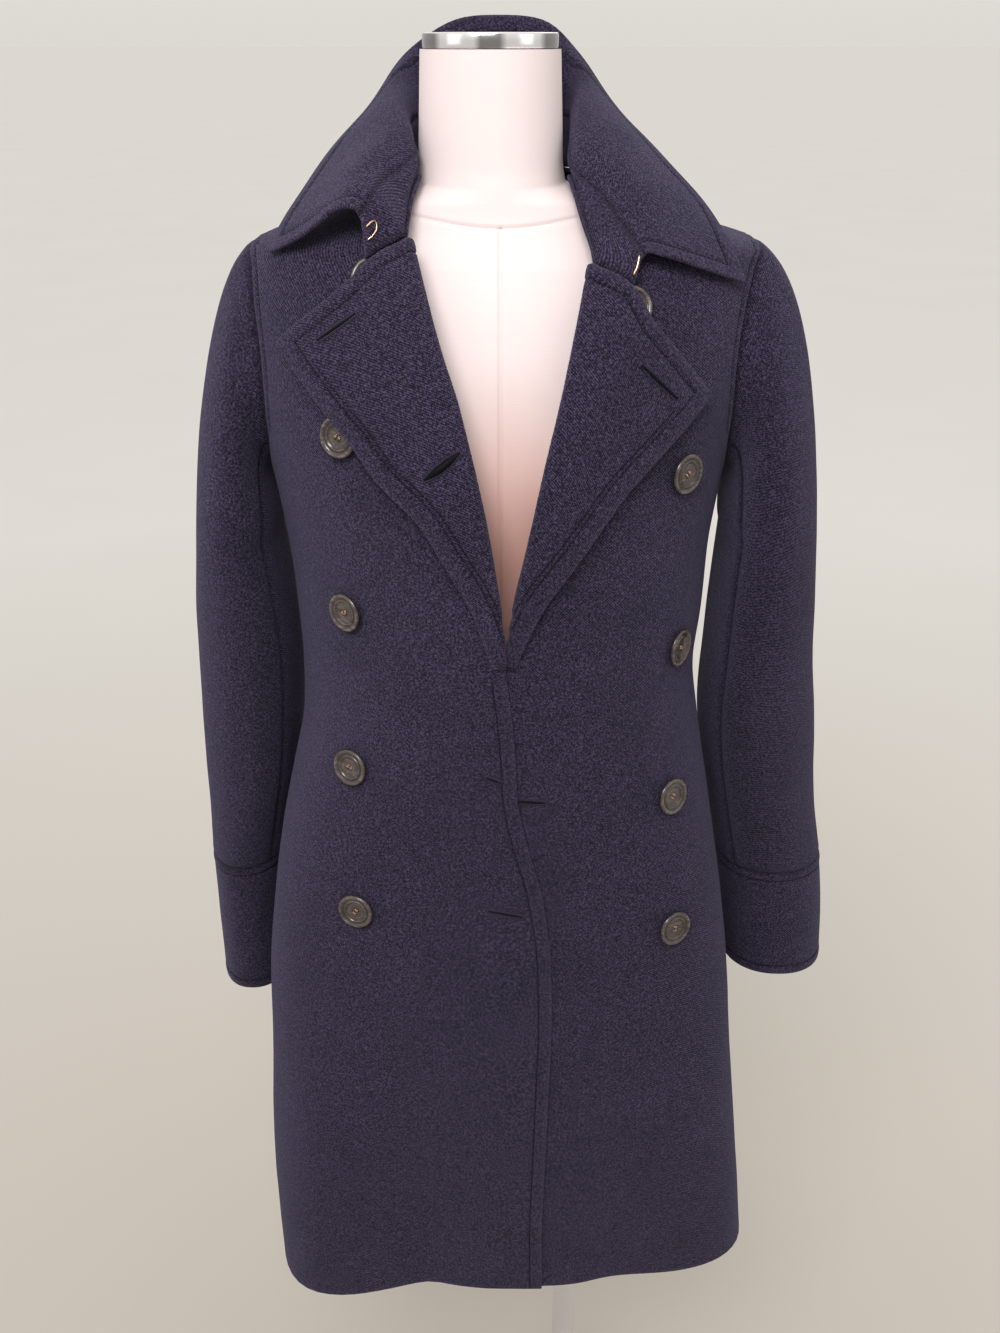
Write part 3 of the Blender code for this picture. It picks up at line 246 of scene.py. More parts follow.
# Sleeves below the cap, down to the cuff seam, and the cuff bands
SLEEVE_SQUARE = 2.2
CUFF_SEAM_Z = 0.785
SLEEVES = {
    RIGHT: (
        Sleeve(0.640, -0.2445, 0.0335, 0.052, 0.055), Sleeve(0.720, -0.2445, 0.0335, 0.050, 0.056),
        Sleeve(0.785, -0.2420, 0.0350, 0.045, 0.057), Sleeve(0.840, -0.2350, 0.0390, 0.038, 0.059),
        Sleeve(0.880, -0.2300, 0.0425, 0.032, 0.060), Sleeve(0.940, -0.2245, 0.0455, 0.026, 0.063),
        Sleeve(1.000, -0.2205, 0.0460, 0.018, 0.065), Sleeve(1.060, -0.2195, 0.0420, 0.010, 0.067),
        Sleeve(1.120, -0.2195, 0.0350, 0.004, 0.069)),
    LEFT: (
        Sleeve(0.668, 0.2700, 0.0480, 0.034, 0.052), Sleeve(0.720, 0.2660, 0.0490, 0.034, 0.053),
        Sleeve(0.785, 0.2575, 0.0495, 0.034, 0.054), Sleeve(0.840, 0.2470, 0.0500, 0.032, 0.056),
        Sleeve(0.880, 0.2403, 0.0512, 0.028, 0.058), Sleeve(0.940, 0.2330, 0.0520, 0.022, 0.062),
        Sleeve(1.000, 0.2290, 0.0475, 0.014, 0.065), Sleeve(1.060, 0.2270, 0.0440, 0.008, 0.067),
        Sleeve(1.120, 0.2255, 0.0395, 0.002, 0.069)),
}
CAP_START_Z = 1.120
CAP_PULL_LOW = 0.035
CAP_PULLS = {RIGHT: 0.100, LEFT: 0.126}
CAP_SPREAD, CAP_DROOP, CAP_OUT, CAP_FALL = 3.0, 0.40, 0.020, 1.07

# The dress form, with its own neck above the coat's neckline
FORM = (
    Section(0.760, 0.150, 0.150, 0.094, 0.100, 0.0, 2.2),
    Section(0.850, 0.150, 0.150, 0.098, 0.104, 0.0, 2.2),
    Section(0.930, 0.136, 0.136, 0.092, 0.084, 0.0, 2.1),
    Section(1.010, 0.120, 0.120, 0.086, 0.070, 0.0, 2.0),
    Section(1.080, 0.130, 0.130, 0.098, 0.078, 0.0, 2.0),
    Section(1.150, 0.145, 0.145, 0.112, 0.092, 0.0, 2.0),
    Section(1.200, 0.153, 0.153, 0.116, 0.102, 0.0, 2.0),
    Section(1.260, 0.165, 0.165, 0.111, 0.107, 0.0, 2.0),
    Section(1.310, 0.176, 0.176, 0.096, 0.105, 0.0, 2.0),
    Section(1.340, 0.178, 0.178, 0.081, 0.100, 0.0, 2.0),
)
FORM_NECK = (
    Section(1.394, 0.0640, 0.0500, 0.0575, 0.0610, 0.0, 2.0),
    Section(1.405, 0.0620, 0.0480, 0.0555, 0.0580, 0.0, 2.0),
    Section(1.430, 0.0610, 0.0470, 0.0540, 0.0555, 0.0, 2.0),
    Section(1.4864, 0.0590, 0.0450, 0.0520, 0.0520, 0.0, 2.0),
)
FORM_CHEST = (Edge(1.340, 0.081), Edge(1.366, 0.0635), Edge(1.394, 0.0575))
BUST_X, BUST_Z, BUST_SPREAD, BUST_RISE = 0.080, 1.190, 0.045, 0.012

# Sampling of the cloth: fine steps beside borders, coarse ones between, in metres, and how many
# rows and columns of each kind the pieces have
EDGE_STEP = 0.0013
EDGE_COLUMNS = 14
BODY_COLUMNS = 26
ROW_STEP = 0.007
ARMHOLE_STEPS = 36
CAP_STEPS = 30
SHOULDER_ROWS = 26
LAPEL_ROWS = 56
LAPEL_COLUMNS = 20
FOLD_STEPS = 8
COLLAR_COLUMNS = 96
RIM_STEPS = 5
SEAM_RIM = 0.25
ARC_SAMPLES = 33
MARK_STEP = 0.0008
HEM_ROWS = 8
BELT_ROWS, BELT_COLUMNS = 18, 120
LAPEL_FINE_FROM, LAPEL_FINE_STEP, LAPEL_FINE_ROWS = 0.94, 0.0045, 12
COLLAR_END_STEP, COLLAR_END_COLUMNS = 0.008, 8
CAP_FIRST_STEPS, CAP_EVEN_FROM = (0.0, 0.012, 0.025, 0.04), 0.06
SLEEVE_LAST_ROWS, SLEEVE_LAST_REACH = (0.006, 0.003, 0.0015, 0.0), 0.009
CUFF_FINE_ROWS, CUFF_COARSE_ROWS = 12, 14

# Body panels: where the straight front edge ends below the break and where the row beside it lies,
# least width of a row in degrees, and the radius that makes an angle a width on the flat cloth
BREAK_END, BREAK_ROW = 0.0010, 0.0012
PANEL_LEAST_ANGLE = 4
FLAT_RADIUS = 0.19

# Share of a row that its fine steps may take
FINE_SHARE = 0.7

# Trimmed borders: how far the points behind one follow, in trims, and the most of a row that
# these points and the trim may take
PULL_REACH, PULL_ROOM, PULL_MOST = 5, 0.8, 0.3

# How far one line of stitches may run past another at a corner
CORNER_SLACK = 0.0004

# Rows of the collar along its lines, from its seam on the coat (0) by the seam between stand and
# fall (1) to the free edge (4), and a place on the side that its shown face looks to
STAND_STEPS = (0.0, 0.025, 0.05, 0.08, *np.linspace(0.12, 0.88, 10), 0.92, 0.95, 0.975, 1.0)
FALL_STEPS = (1.02, 1.04, 1.065, *np.linspace(1.1, 3.44, 34), *(3.5 + 0.04 * k for k in range(13)))
COLLAR_INSIDE = (0, -0.02, 0.05)

# Rings of the form: spans of height with their steps, finest across the neck seam. Its columns:
# turn between the fine ones at the centre front, and how many are fine and coarse
FORM_LEVELS = ((FORM[0].z, 1.33, 0.010), (1.33, 1.41, 0.0012), (1.41, FORM_NECK[-1].z, 0.006))
FORM_FINE_TURN, FORM_FINE_COUNT, FORM_COARSE_COUNT = 0.4, 8, 92
NECK_BLEND = 0.010

# Unevenness of the cloth as shares and waves in a metre, and the bulge beside a pressed seam
DRAPE_WAVES = ((1.0, 9.0), (0.35, 26.0))
SEAM_BULGE, SEAM_BESIDE = 0.3, 2.5

# A stitch: places along its length and heights in thread radii, and its thickness in them
STITCH_ARCH = ((0.0, -1.0), (0.22, 0.25), (0.5, 0.55), (0.78, 0.25), (1.0, -1.0))
STITCH_TAPER = (0.6, 1.0, 1.0, 1.0, 0.6)

# Topstitching: the borders it follows on a piece, how far in, and between which heights
STITCHINGS = (
    Stitching("front_right", ("first",), (0.0105,), HEM_Z - 0.01, BREAK_Z - 0.006),
    Stitching("front_right", ("last",), (0.0100,), 1.212, SHOULDER_TIP_Z),
    Stitching("front_left", ("last",), (0.0100,), 1.212, SHOULDER_TIP_Z),
    Stitching("back_right", ("first",), (0.0100,), 1.212, SHOULDER_TIP_Z),
    Stitching("back_left", ("first",), (0.0100,), 1.212, SHOULDER_TIP_Z),
    Stitching("lapel_right", ("last", "end"), (0.0140, 0.0100), 0.0, 2.0),
    Stitching("lapel_right", ("last",), (0.0177,), 0.0, 1.276),
    Stitching("lapel_left", ("last", "end"), (0.0140, 0.0100), 0.0, 2.0),
    Stitching("lapel_left", ("last",), (0.0177,), 0.0, 1.240),
    Stitching("collar_fall", ("end", "first", "last"), (0.0110, 0.0075, 0.0075), 0.0, 2.0),
    Stitching("cuff_right", ("start",), (0.0085,), 0.0, 2.0),
    Stitching("cuff_left", ("start",), (0.0085,), 0.0, 2.0),
    Stitching("cuff_right", ("end",), (0.0085,), 0.0, 2.0),
    Stitching("cuff_left", ("end",), (0.0085,), 0.0, 2.0),
)

# Turned button as radius and height, and the horn's painted light and shade from its middle (0) to
# its rim (1)
BUTTON_TURN = (
    (0.0, 0.0026), (0.0060, 0.0026), (0.0110, 0.0027), (0.0139, 0.0031), (0.0153, 0.0040),
    (0.01575, 0.0050), (0.0154, 0.0060), (0.0146, 0.0067), (0.0137, 0.0068), (0.0127, 0.0064),
    (0.0118, 0.0058), (0.0111, 0.0057), (0.0105, 0.0061), (0.0100, 0.0064), (0.0095, 0.0062),
    (0.0088, 0.0056), (0.0076, 0.0051), (0.0055, 0.0049), (0.0, 0.0049),
)
BUTTON_RADIUS = max(radius for radius, _ in BUTTON_TURN)
# Painted highlights on the button's ridges and rim, painted shade in its grooves
HORN_LIGHT_AND_SHADE = (
    (0.0, 0.9), (0.45, 1.1), (0.55, 0.45), (0.60, 0.9), (0.635, 1.4), (0.68, 0.5), (0.73, 0.3),
    (0.80, 0.9), (0.90, 1.7), (1.0, 0.5),
)

# Height of the button's floor, place and depth of its holes, and turns that make a sharp edge
BUTTON_FLOOR = 0.0049
HOLE_REACH, DRILL_DEPTH = 0.0024, 0.012
SHARP_TURN, STEEL_SHARP_TURN = math.radians(50), math.radians(35)

# Turn of each button's holes about its axis, in degrees
BUTTON_TURNS = {
    "button_right_1": 10, "button_right_2": -20, "button_right_3": 25, "button_right_4": -12,
    "button_right_5": 60, "button_left_1": 30, "button_left_2": 35, "button_left_3": -30,
    "button_left_4": 50, "button_left_5": 80,
}

# Shank of a button as radius and height, and where strands lie beside each bar's middle, in
# thread radii that are stretched by the pitch
SHANK = ((0.0030, 0.0002), (0.0024, 0.0012), (0.0030, 0.0027))
STRANDS = (-1.2, -0.35, 0.45, 1.25)
STRAND_PITCH = 1.1

# A strand's foot below the button, how deep it dips into a hole, and its rise over the floor
STRAND_FOOT, STRAND_SINK = 0.0024, 0.0004
STRAND_LIFT, STRAND_SWAY = 0.0010, 0.0003

# Hook and eye: wire, how far its middle is off the cloth in wire radii, where the cloth is looked
# at from, and routes along and up the collar stand from its end
WIRE_RADIUS, WIRE_SEAT, WIRE_LOOK = 0.0007, 1.2, 0.03
EYE_ROUTE = ((0.0040, -0.0045), (0.0085, -0.0045), (0.0120, -0.0030), (0.0130, 0.0),
             (0.0120, 0.0030), (0.0085, 0.0045), (0.0040, 0.0045))
HOOK_ROUTE = ((0.0030, -0.0070), (0.0024, 0.0), (0.0030, 0.0070))

# Seams of the form: a ring at the neck, lowest in front, and a centre front line below it. Rings
# between two heights are tilted like the neck seam, and fade to level ones
NECK_SEAM_Z, NECK_SEAM_RISE = 1.3675, 0.0205
TILT_LOW_Z, TILT_HIGH_Z, TILT_FADE = 1.30, 1.46, 0.06

# Studio: the floor, and lights with the setting that holds their power
FLOOR_RADIUS, FLOOR_LOW_Z, FLOOR_TOP_Z = 400.0, -0.02, -0.0005
LIGHTS = (
    Light("key_light", (-0.35, -1.7, 2.6), (0, 0, 1.32), (1.2, 0.8), "key_power",
          (1.0, 0.97, 0.96), 75),
    Light("fill_light_left", (-2.4, -1.2, 1.7), (0, 0, 1.1), (1.2, 1.8), "fill_power",
          (0.96, 0.98, 1.0), 150),
    Light("fill_light_right", (2.4, -1.2, 1.7), (0, 0, 1.1), (1.2, 1.8), "fill_power",
          (0.96, 0.98, 1.0), 150),
    Light("back_light", (0.4, 2.4, 2.4), (0, 0, 1.1), (1.6, 1.2), "fill_power",
          (1.0, 1.0, 1.0), 150),
)

# Stitches of a buttonhole: shares of their width and heights in thread radii, then the bar across
# each end and how far it is beyond the slit, and the near-black tube in the slit, its painted shadow
HOLE_LIP, HOLE_WIDTH, HOLE_THREAD_RADIUS, HOLE_PITCH = 0.00060, 0.0017, 0.00030, 0.00064
HOLE_ARCH = ((0.0, -1.0), (0.0, 1.0), (0.5, 1.3), (1.0, -0.5))
HOLE_BAR = ((-0.0026, -1.0), (-0.0018, 1.0), (0.0018, 1.0), (0.0026, -1.0))
BAR_BEFORE, BAR_BEYOND = 0.0008, 0.0006
SLIT_STEPS, SLIT_RISE, SLIT_SHARE = 14, 0.0001, 0.9

# Depth ahead of the coat from which its front is looked at
AHEAD_Y = -0.6

# Sides of round tubes and turned pieces
STITCH_SIDES, STRAND_SIDES, SLIT_SIDES, WIRE_SIDES, SHANK_SIDES, DRILL_SIDES = 5, 7, 8, 12, 16, 20
BUTTON_SIDES, FLOOR_SIDES, STEEL_SIDES = 72, 96, 128

# Buttonholes as the ends of their slits on the fronts, seen from straight ahead
BUTTONHOLES = (
    Buttonhole(-0.1306, 1.2970, -0.1019, 1.3170, 0.0004),
    Buttonhole(-0.0544, 1.2060, -0.0283, 1.2260, 0.0022),
    Buttonhole(0.1000, 1.2830, 0.1270, 1.2575, 0.0004),
    Buttonhole(-0.0110, 0.9590, 0.0005, 0.9540, 0.0003),
    Buttonhole(-0.0100, 0.8275, 0.0190, 0.8210, 0.0003),
    Buttonhole(0.0137, 0.9346, 0.0363, 0.9320, 0.0006),
)


def hermite(start, end, leave, arrive, u):
    """Point between start and end on a cubic that leaves and arrives with given slopes."""
    point = (2 * u**3 - 3 * u**2 + 1) * start + (3 * u**2 - 2 * u**3) * end
    return point + (u**3 - 2 * u**2 + u) * leave + (u**3 - u**2) * arrive


def smooth(table, key):
    """Row of a table at a key, on smooth curves through the rows."""
    keys = [row[0] for row in table]
    if key <= keys[0]:
        return table[0]
    if key >= keys[-1]:
        return table[-1]
    at = max(k for k in range(len(keys)) if keys[k] <= key)
    span = keys[at + 1] - keys[at]
    u = (key - keys[at]) / span

    def slope(k, column):
        low, high = max(k - 1, 0), min(k + 1, len(keys) - 1)
        return (table[high][column] - table[low][column]) / (keys[high] - keys[low])

    values = []
    for column in range(len(table[0])):
        leave, arrive = span * slope(at, column), span * slope(at + 1, column)
        values.append(hermite(table[at][column], table[at + 1][column], leave, arrive, u))
    return type(table[0])(*values)


def ease(value):
    """Smooth step from 0 to 1."""
    value = min(max(value, 0.0), 1.0)
    return value * value * (3 - 2 * value)


def power(value, exponent):
    """Signed power, for rounded box sections."""
    return math.copysign(abs(value) ** exponent, value)


def section_point(section, angle):
    """Point of a rounded section at an angle from the centre front, positive to +X."""
    across, ahead = math.sin(math.radians(angle)), math.cos(math.radians(angle))
    half = section.left if across > 0 else section.right
    reach = section.front + section.middle if ahead > 0 else section.back - section.middle
    size = (abs(across) / half) ** section.square + (abs(ahead) / reach) ** section.square
    radius = size ** (-1 / section.square)
    return Vector((radius * across, section.middle - radius * ahead, section.z))


@lru_cache(maxsize=None)
def body_section(z):
    """Section of the coat's body at a height."""
    return smooth(BODY, z)._replace(z=z)


def body_point(angle, z):
    """Point of the coat's outer surface."""
    point = section_point(body_section(z), angle)
    out = Vector((point.x, point.y, 0)).normalized()
    for fold in FOLDS:
        drop = ease((fold.top - z) / (fold.top - HEM_Z))
        away = (angle - fold.angle + 180) % 360 - 180
        point += out * fold.depth * drop * math.exp(-(away / fold.width) ** 2)
    return point


def body_normal(angle, z):
    """Outward direction of the coat's surface."""
    low, high = max(z - NORMAL_STEP_Z, HEM_Z), min(z + NORMAL_STEP_Z, NECK_Z)
    turn = body_point(angle + NORMAL_TURN, z) - body_point(angle - NORMAL_TURN, z)
    climb = body_point(angle, high) - body_point(angle, low)
    return turn.cross(climb).normalized()


def front_angle(x, z):
    """Angle of the front's point at a distance x from the middle."""
    section = body_section(z)
    half = section.left if x > 0 else section.right
    rest = 1 - min(abs(x) / half, 1.0) ** section.square
    ahead = (section.front + section.middle) * rest ** (1 / section.square)
    return math.degrees(math.atan2(x, ahead))


def lap_lift(x, z):
    """How far the wearer's right front stands off where it laps over the left one."""
    return LAP_LIFT * ease((x - LAP_START_X) / LAP_REACH_X) * ease((LAP_TOP_Z - z) / LAP_REACH_Z)


def front_surface(side, x, z, rise=0.0):
    """Point of a front's outer surface, raised along its normal."""
    angle = front_angle(x, z)
    if side == RIGHT:
        rise += lap_lift(x, z)
    return body_point(angle, z) + body_normal(angle, z) * rise


def armhole_angle(z, width):
    """Angle of the armhole's edge at a height, measured from the side seam."""
    middle = (UNDERARM_Z + SHOULDER_TIP_Z) / 2
    half = (SHOULDER_TIP_Z - UNDERARM_Z) / 2
    level = min(abs(z - middle) / half, 1.0)
    return width * math.sqrt(1 - level * level)


def armhole_heights():
    """Heights of the armhole's points, closer together at its top and bottom."""
    middle = (UNDERARM_Z + SHOULDER_TIP_Z) / 2
    half = (SHOULDER_TIP_Z - UNDERARM_Z) / 2
    turns = [math.pi * step / ARMHOLE_STEPS for step in range(ARMHOLE_STEPS + 1)]
    return [middle - half * math.cos(turn) for turn in turns]


def fold_size(z):
    """Radius of the lapel's fold and height of its shown face beside the fold."""
    grow = ease((z - BREAK_Z) / FOLD_GROWTH)
    height = LAPEL_WALL + LAPEL_BED + FOLD_RISE * grow
    return (height + BODY_WALL) / 2, height


def roll_top(side):
    """Height where the lapel's roll line ends at the collar."""
    return ROLLS[side][-1].z


def front_edge_x(side, z):
    """Front edge of a front panel: straight edge, folded lapel, then neckline."""
    if z < BREAK_Z - BREAK_END:
        return smooth(EDGES[side], z).x
    if z < roll_top(side):
        return smooth(ROLLS[side], z).x + side * (fold_size(z)[0] + SEAM_GAP)
    return smooth(NECKS[side], z).x


def outline_point(table, step):
    """Point (x, z) of a lapel outline."""
    row = smooth(table, step)
    return Vector((row.x, row.z))


def lapel_place(side, v, w):
    """Place (x, z) on a lapel: v from the break to the top, w from roll line to edge."""
    outer, low_z = LAPEL_OUTERS[side], LAPEL_OUTERS[side][0].z

    def roll_point(step):
        z = low_z + (roll_top(side) - low_z) * step
        return Vector((smooth(ROLLS[side], z).x, z))

    start, end = roll_point(0), roll_point(1)
    low, high = outline_point(outer, 0), outline_point(outer, 1)
    corners = (1 - v) * ((1 - w) * start + w * low)
    corners += v * ((1 - w) * end + w * high)
    across = (1 - w) * roll_point(v) + w * outline_point(outer, v)
    return across + (1 - v) * start.lerp(low, w) + v * outline_point(LAPEL_TOPS[side], w) - corners


def lapel_height(z, distance):
    """Height of the lapel's shown face over the front, a distance from the roll line."""
    beside = fold_size(z)[1]
    rise = (LAPEL_RISE - FOLD_RISE) * ease((z - BREAK_Z) / LAPEL_GROWTH)
    return beside + rise * ease(distance / ROLL_WIDTH)


def lapel_top_point(side, w):
    """Point of a lapel's top border."""
    start, place = lapel_place(side, 1, 0), lapel_place(side, 1, w)
    radius = fold_size(start.y)[0]
    place.x += side * radius * (1 - w)
    distance = max((place - start).length - radius, 0)
    return front_surface(side, place.x, place.y, lapel_height(place.y, distance))


def gorge_point(side, w):
    """Point a seam gap off the lapel's top border, where the collar starts."""
    point = lapel_top_point(side, w)
    along = lapel_top_point(side, w + PLACE_STEP) - point
    normal = body_normal(front_angle(point.x, point.z), min(point.z, GORGE_RIGHT_Z))
    away = along.cross(normal).normalized()
    if away.z < 0:
        away = -away
    return point + away * (GORGE_GAP + FOLD_CLEAR * (1 - ease(w / GORGE_REACH)))


def collar_base(side, s):
    """Collar's seam on the coat: back neck, front neckline, then the gorge."""
    if s <= COLLAR_SIDE_S:
        angle = side * (BACK_ANGLE - (BACK_ANGLE - SIDE_ANGLE) * s / COLLAR_SIDE_S)
        point, normal = body_point(angle, NECK_Z), body_normal(angle, NECK_Z)
        return point + normal * (SEAM_GAP + BASE_RISES[0])
    neck = NECKS[side]
    if s < COLLAR_FRONT_S:
        corner = front_angle(neck[-1].x, NECK_Z)
        along = (s - COLLAR_SIDE_S) / (COLLAR_FRONT_S - COLLAR_SIDE_S)
        angle = side * SIDE_ANGLE + (corner - side * SIDE_ANGLE) * along
        rise = SEAM_GAP + BASE_RISES[0] + (BASE_RISES[1] - BASE_RISES[0]) * along
        return body_point(angle, NECK_Z) + body_normal(angle, NECK_Z) * rise
    if s < COLLAR_ROLL_S:
        along = (s - COLLAR_FRONT_S) / (COLLAR_ROLL_S - COLLAR_FRONT_S)
        z = NECK_Z + (roll_top(side) - NECK_Z) * along
        rise = SEAM_GAP + BASE_RISES[1] + (BASE_RISES[2] - BASE_RISES[1]) * along ** 0.5
        return front_surface(side, smooth(neck, z).x, z, rise)
    gorge_w = LAPEL_TOPS[side][1].step
    return gorge_point(side, gorge_w * (s - COLLAR_ROLL_S) / (1 - COLLAR_ROLL_S))


def collar_line(s):
    """Points up one line of the collar, from its seam on the coat to its free edge."""
    line = [collar_base(RIGHT if s < 0 else LEFT, abs(s))]
    for name in Profile._fields[1:]:
        track = [Place(row.s, *getattr(row, name)) for row in COLLAR]
        line.append(Vector(smooth(track, s)[1:]))
    return line


def sleeve_ring(side, z, columns):
    """Level section of a sleeve, from its inner side round by the front."""
    row = smooth(SLEEVES[side], z)
    ring = []
    for column in range(columns):
        turn = math.pi + 2 * math.pi * column / columns
        across = power(math.cos(turn), 2 / SLEEVE_SQUARE)
        ahead = power(math.sin(turn), 2 / SLEEVE_SQUARE)
        ring.append(Vector((row.middle_x + side * row.half_width * across,
                            row.middle_y + row.half_depth * ahead, z)))
    return ring


def away_from_sleeve(side):
    """Direction out of a sleeve."""
    def out(point):
        row = smooth(SLEEVES[side], point.z)
        return Vector((point.x - row.middle_x, point.y - row.middle_y, 0))
    return out


def form_point(angle, z):
    """Point of the dress form's body below its neck, with the bust rounded out."""
    if z > FORM[-1].z:
        coat = smooth(BODY, z + FORM_SEAT)
        section = coat._replace(
            z=z, front=smooth(FORM_CHEST, z).x, back=coat.back - FORM_BACK_GAP,
            right=min(coat.right, FORM_SHOULDER), left=min(coat.left, FORM_SHOULDER))
    else:
        section = smooth(FORM, z)._replace(z=z)
    point = section_point(section, angle)
    if point.y < 0:
        for x in (-BUST_X, BUST_X):
            away = math.hypot(point.x - x, point.z - BUST_Z) / BUST_SPREAD
            point.y -= BUST_RISE * math.exp(-away * away)
    return point


def lengths_along(points):
    """Distance of each point along a line of points."""
    steps = np.linalg.norm(np.diff(points, axis=0), axis=1)
    return np.concatenate(([0.0], np.cumsum(steps)))


def along_line(points, places):
    """Points at some distances along a line of points."""
    lengths = lengths_along(points)
    return np.stack([np.interp(places, lengths, points[:, k]) for k in range(3)], axis=1)


def across_row(width, middle_count, fine_first=True, fine_last=True):
    """Distances across a row: close together beside its fine borders, even between them."""
    fine = EDGE_STEP * (EDGE_COLUMNS - 1) * (fine_first + fine_last)
    step = EDGE_STEP * min(1.0, FINE_SHARE * width / max(fine, EDGE_STEP))
    near = [k * step for k in range(EDGE_COLUMNS)]
    start = near if fine_first else [0.0]
    end = [width - place for place in reversed(near)] if fine_last else [width]
    between = np.linspace(start[-1], end[0], middle_count + 2)[1:-1]
    return np.array(start + list(between) + end)


def pulled_in(grid, border, amount):
    """Grid whose border row or column is moved in along the grid, its neighbours following."""
    grid = grid.copy()
    turned = border in ("start", "end")
    lines = grid.transpose(1, 0, 2) if turned else grid
    for line in lines:
        ordered = line[::-1] if border in ("last", "end") else line
        lengths = lengths_along(ordered)
        room = min(PULL_REACH * amount, lengths[-1] * PULL_ROOM)
        take = amount * min(1.0, lengths[-1] * PULL_MOST / amount)
        places = np.where(lengths < room, take + lengths * (1 - take / room), lengths)
        ordered[:] = along_line(ordered.copy(), places)
    return grid


def border_line(grid, border):
    """Points of a grid's border."""
    return {"first": grid[:, 0], "last": grid[:, -1], "start": grid[0], "end": grid[-1]}[border]


def distances_to(grid, lines):
    """Distance from each grid point to the nearest line, endless beyond a line's ends."""
    marks, ends = [], []
    for line in lines:
        total = lengths_along(line)[-1]
        count = max(int(total / MARK_STEP), 2)
        marks.append(along_line(line, np.linspace(0, total, count)))
        flags = np.zeros(count, bool)
        flags[[0, -1]] = True
        ends.append(flags)
    marks, ends = np.concatenate(marks), np.concatenate(ends)
    tree = KDTree(len(marks))
    for k, mark in enumerate(marks):
        tree.insert(mark, k)
    tree.balance()
    rows, columns = grid.shape[:2]
    found = [tree.find(point) for point in grid.reshape(-1, 3)]
    away = np.array([hit[2] for hit in found]).reshape(rows, columns)
    at_end = np.array([ends[hit[1]] for hit in found]).reshape(rows, columns)
    return away, at_end


def stitch_fields(grid, row, closed):
    """For one stitching: distance beyond each border's inset, and where it counts."""
    fields = []
    for border, inset in zip(row.borders, row.insets):
        line = border_line(grid, border)
        line = line[(line[:, 2] >= row.low) & (line[:, 2] <= row.high)]
        if closed:
            line = np.concatenate((line, line[:1]))
        away, at_end = distances_to(grid, [line])
        cut_short = len(line) < len(border_line(grid, border))
        fields.append((away - inset, at_end & cut_short))
    return fields


def crossing_line(grid, normals, fields, borders, index):
    """Line where one border's inset is reached, kept inside the insets of the others."""
    gap, off = fields[index]
    others = [field[0] for k, field in enumerate(fields) if k != index]
    border = borders[index]
    by_column = border in ("start", "end")
    count = grid.shape[1] if by_column else grid.shape[0]
    depth = grid.shape[0] if by_column else grid.shape[1]
    found = []
    for line in range(count):
        places = [(k, line) if by_column else (line, k) for k in range(depth)]
        if border in ("last", "end"):
            places.reverse()
        for before, after in zip(places, places[1:]):
            if gap[before] < 0 <= gap[after]:
                share = -gap[before] / (gap[after] - gap[before])
                inside = all(other[before] * (1 - share) + other[after] * share > -CORNER_SLACK
                             for other in others)
                if inside and not off[before]:
                    point = grid[before] * (1 - share) + grid[after] * share
                    found.append((point, normals[before]))
                break
    return found


def stitched_lines(grid, normals, row, closed):
    """Stitching's line on the finished cloth, as points and normals."""
    fields = stitch_fields(grid, row, closed)
    parts = [crossing_line(grid, normals, fields, row.borders, k) for k in range(len(fields))]
    if row.borders == ("last", "end"):
        return [parts[0] + parts[1][::-1]]
    if row.borders == ("end", "first", "last"):
        return [parts[1] + parts[0] + parts[2][::-1]]
    if closed:
        return [part + part[:1] for part in parts]
    return parts


def relief(grid, normals, edges, seams, rows, closed):
    """Height of the cloth's surface, how far each place is from an edge, how hard it is pressed,
    which also sets its painted shadow.
    """
    cloth = bpy.context.scene.coat_cloth
    waves = [sum(share * noise.noise(Vector(point) * scale) for share, scale in DRAPE_WAVES)
             for point in grid.reshape(-1, 3)]
    height = cloth.drape * np.array(waves).reshape(grid.shape[:2])
    edge_away, pressed = np.full(grid.shape[:2], 1.0), np.zeros(grid.shape[:2])
    if edges:
        edge_away = distances_to(grid, [border_line(grid, border) for border in edges])[0]
    if seams:
        away = distances_to(grid, [border_line(grid, border) for border in seams])[0]
        pressed = np.exp(-(away / cloth.seam_width) ** 2)
        beside = np.exp(-((away - SEAM_BESIDE * cloth.seam_width) / cloth.seam_width) ** 2)
        height += cloth.seam_dip * (SEAM_BULGE * beside - pressed)
    for row in rows:
        gap = np.full(grid.shape[:2], 1.0)
        for field, off in stitch_fields(grid, row, closed):
            gap = np.minimum(gap, np.where(off, 1.0, field))
        groove = np.exp(-(gap / cloth.groove_width) ** 2)
        pressed = np.maximum(pressed, groove)
        pillow = np.clip(1 + gap / min(row.insets), 0, 1) * (gap < 0)
        height += cloth.pillow * np.sin(math.pi * pillow) - cloth.groove_depth * groove
    return height, edge_away, pressed


def perimeter(rows, columns, closed):
    """Loops of border places (row, column, borders) round a grid."""
    low, high = rows - 1, columns - 1
    if closed:
        return [[(0, j, ("start",)) for j in range(columns)],
                [(low, j, ("end",)) for j in range(high, -1, -1)]]
    return [[(0, j, ("start",)) for j in range(1, high)] + [(0, high, ("start", "last"))]
            + [(i, high, ("last",)) for i in range(1, low)] + [(low, high, ("end", "last"))]
            + [(low, j, ("end",)) for j in range(high - 1, 0, -1)] + [(low, 0, ("end", "first"))]
            + [(i, 0, ("first",)) for i in range(low - 1, 0, -1)] + [(0, 0, ("start", "first"))]]


def face_outward(mesh):
    """Turn a closed mesh's faces outward and shade it smooth."""
    bm = bmesh.new()
    bm.from_mesh(mesh)
    bmesh.ops.recalc_face_normals(bm, faces=bm.faces)
    bm.to_mesh(mesh)
    bm.free()
    mesh.shade_smooth()


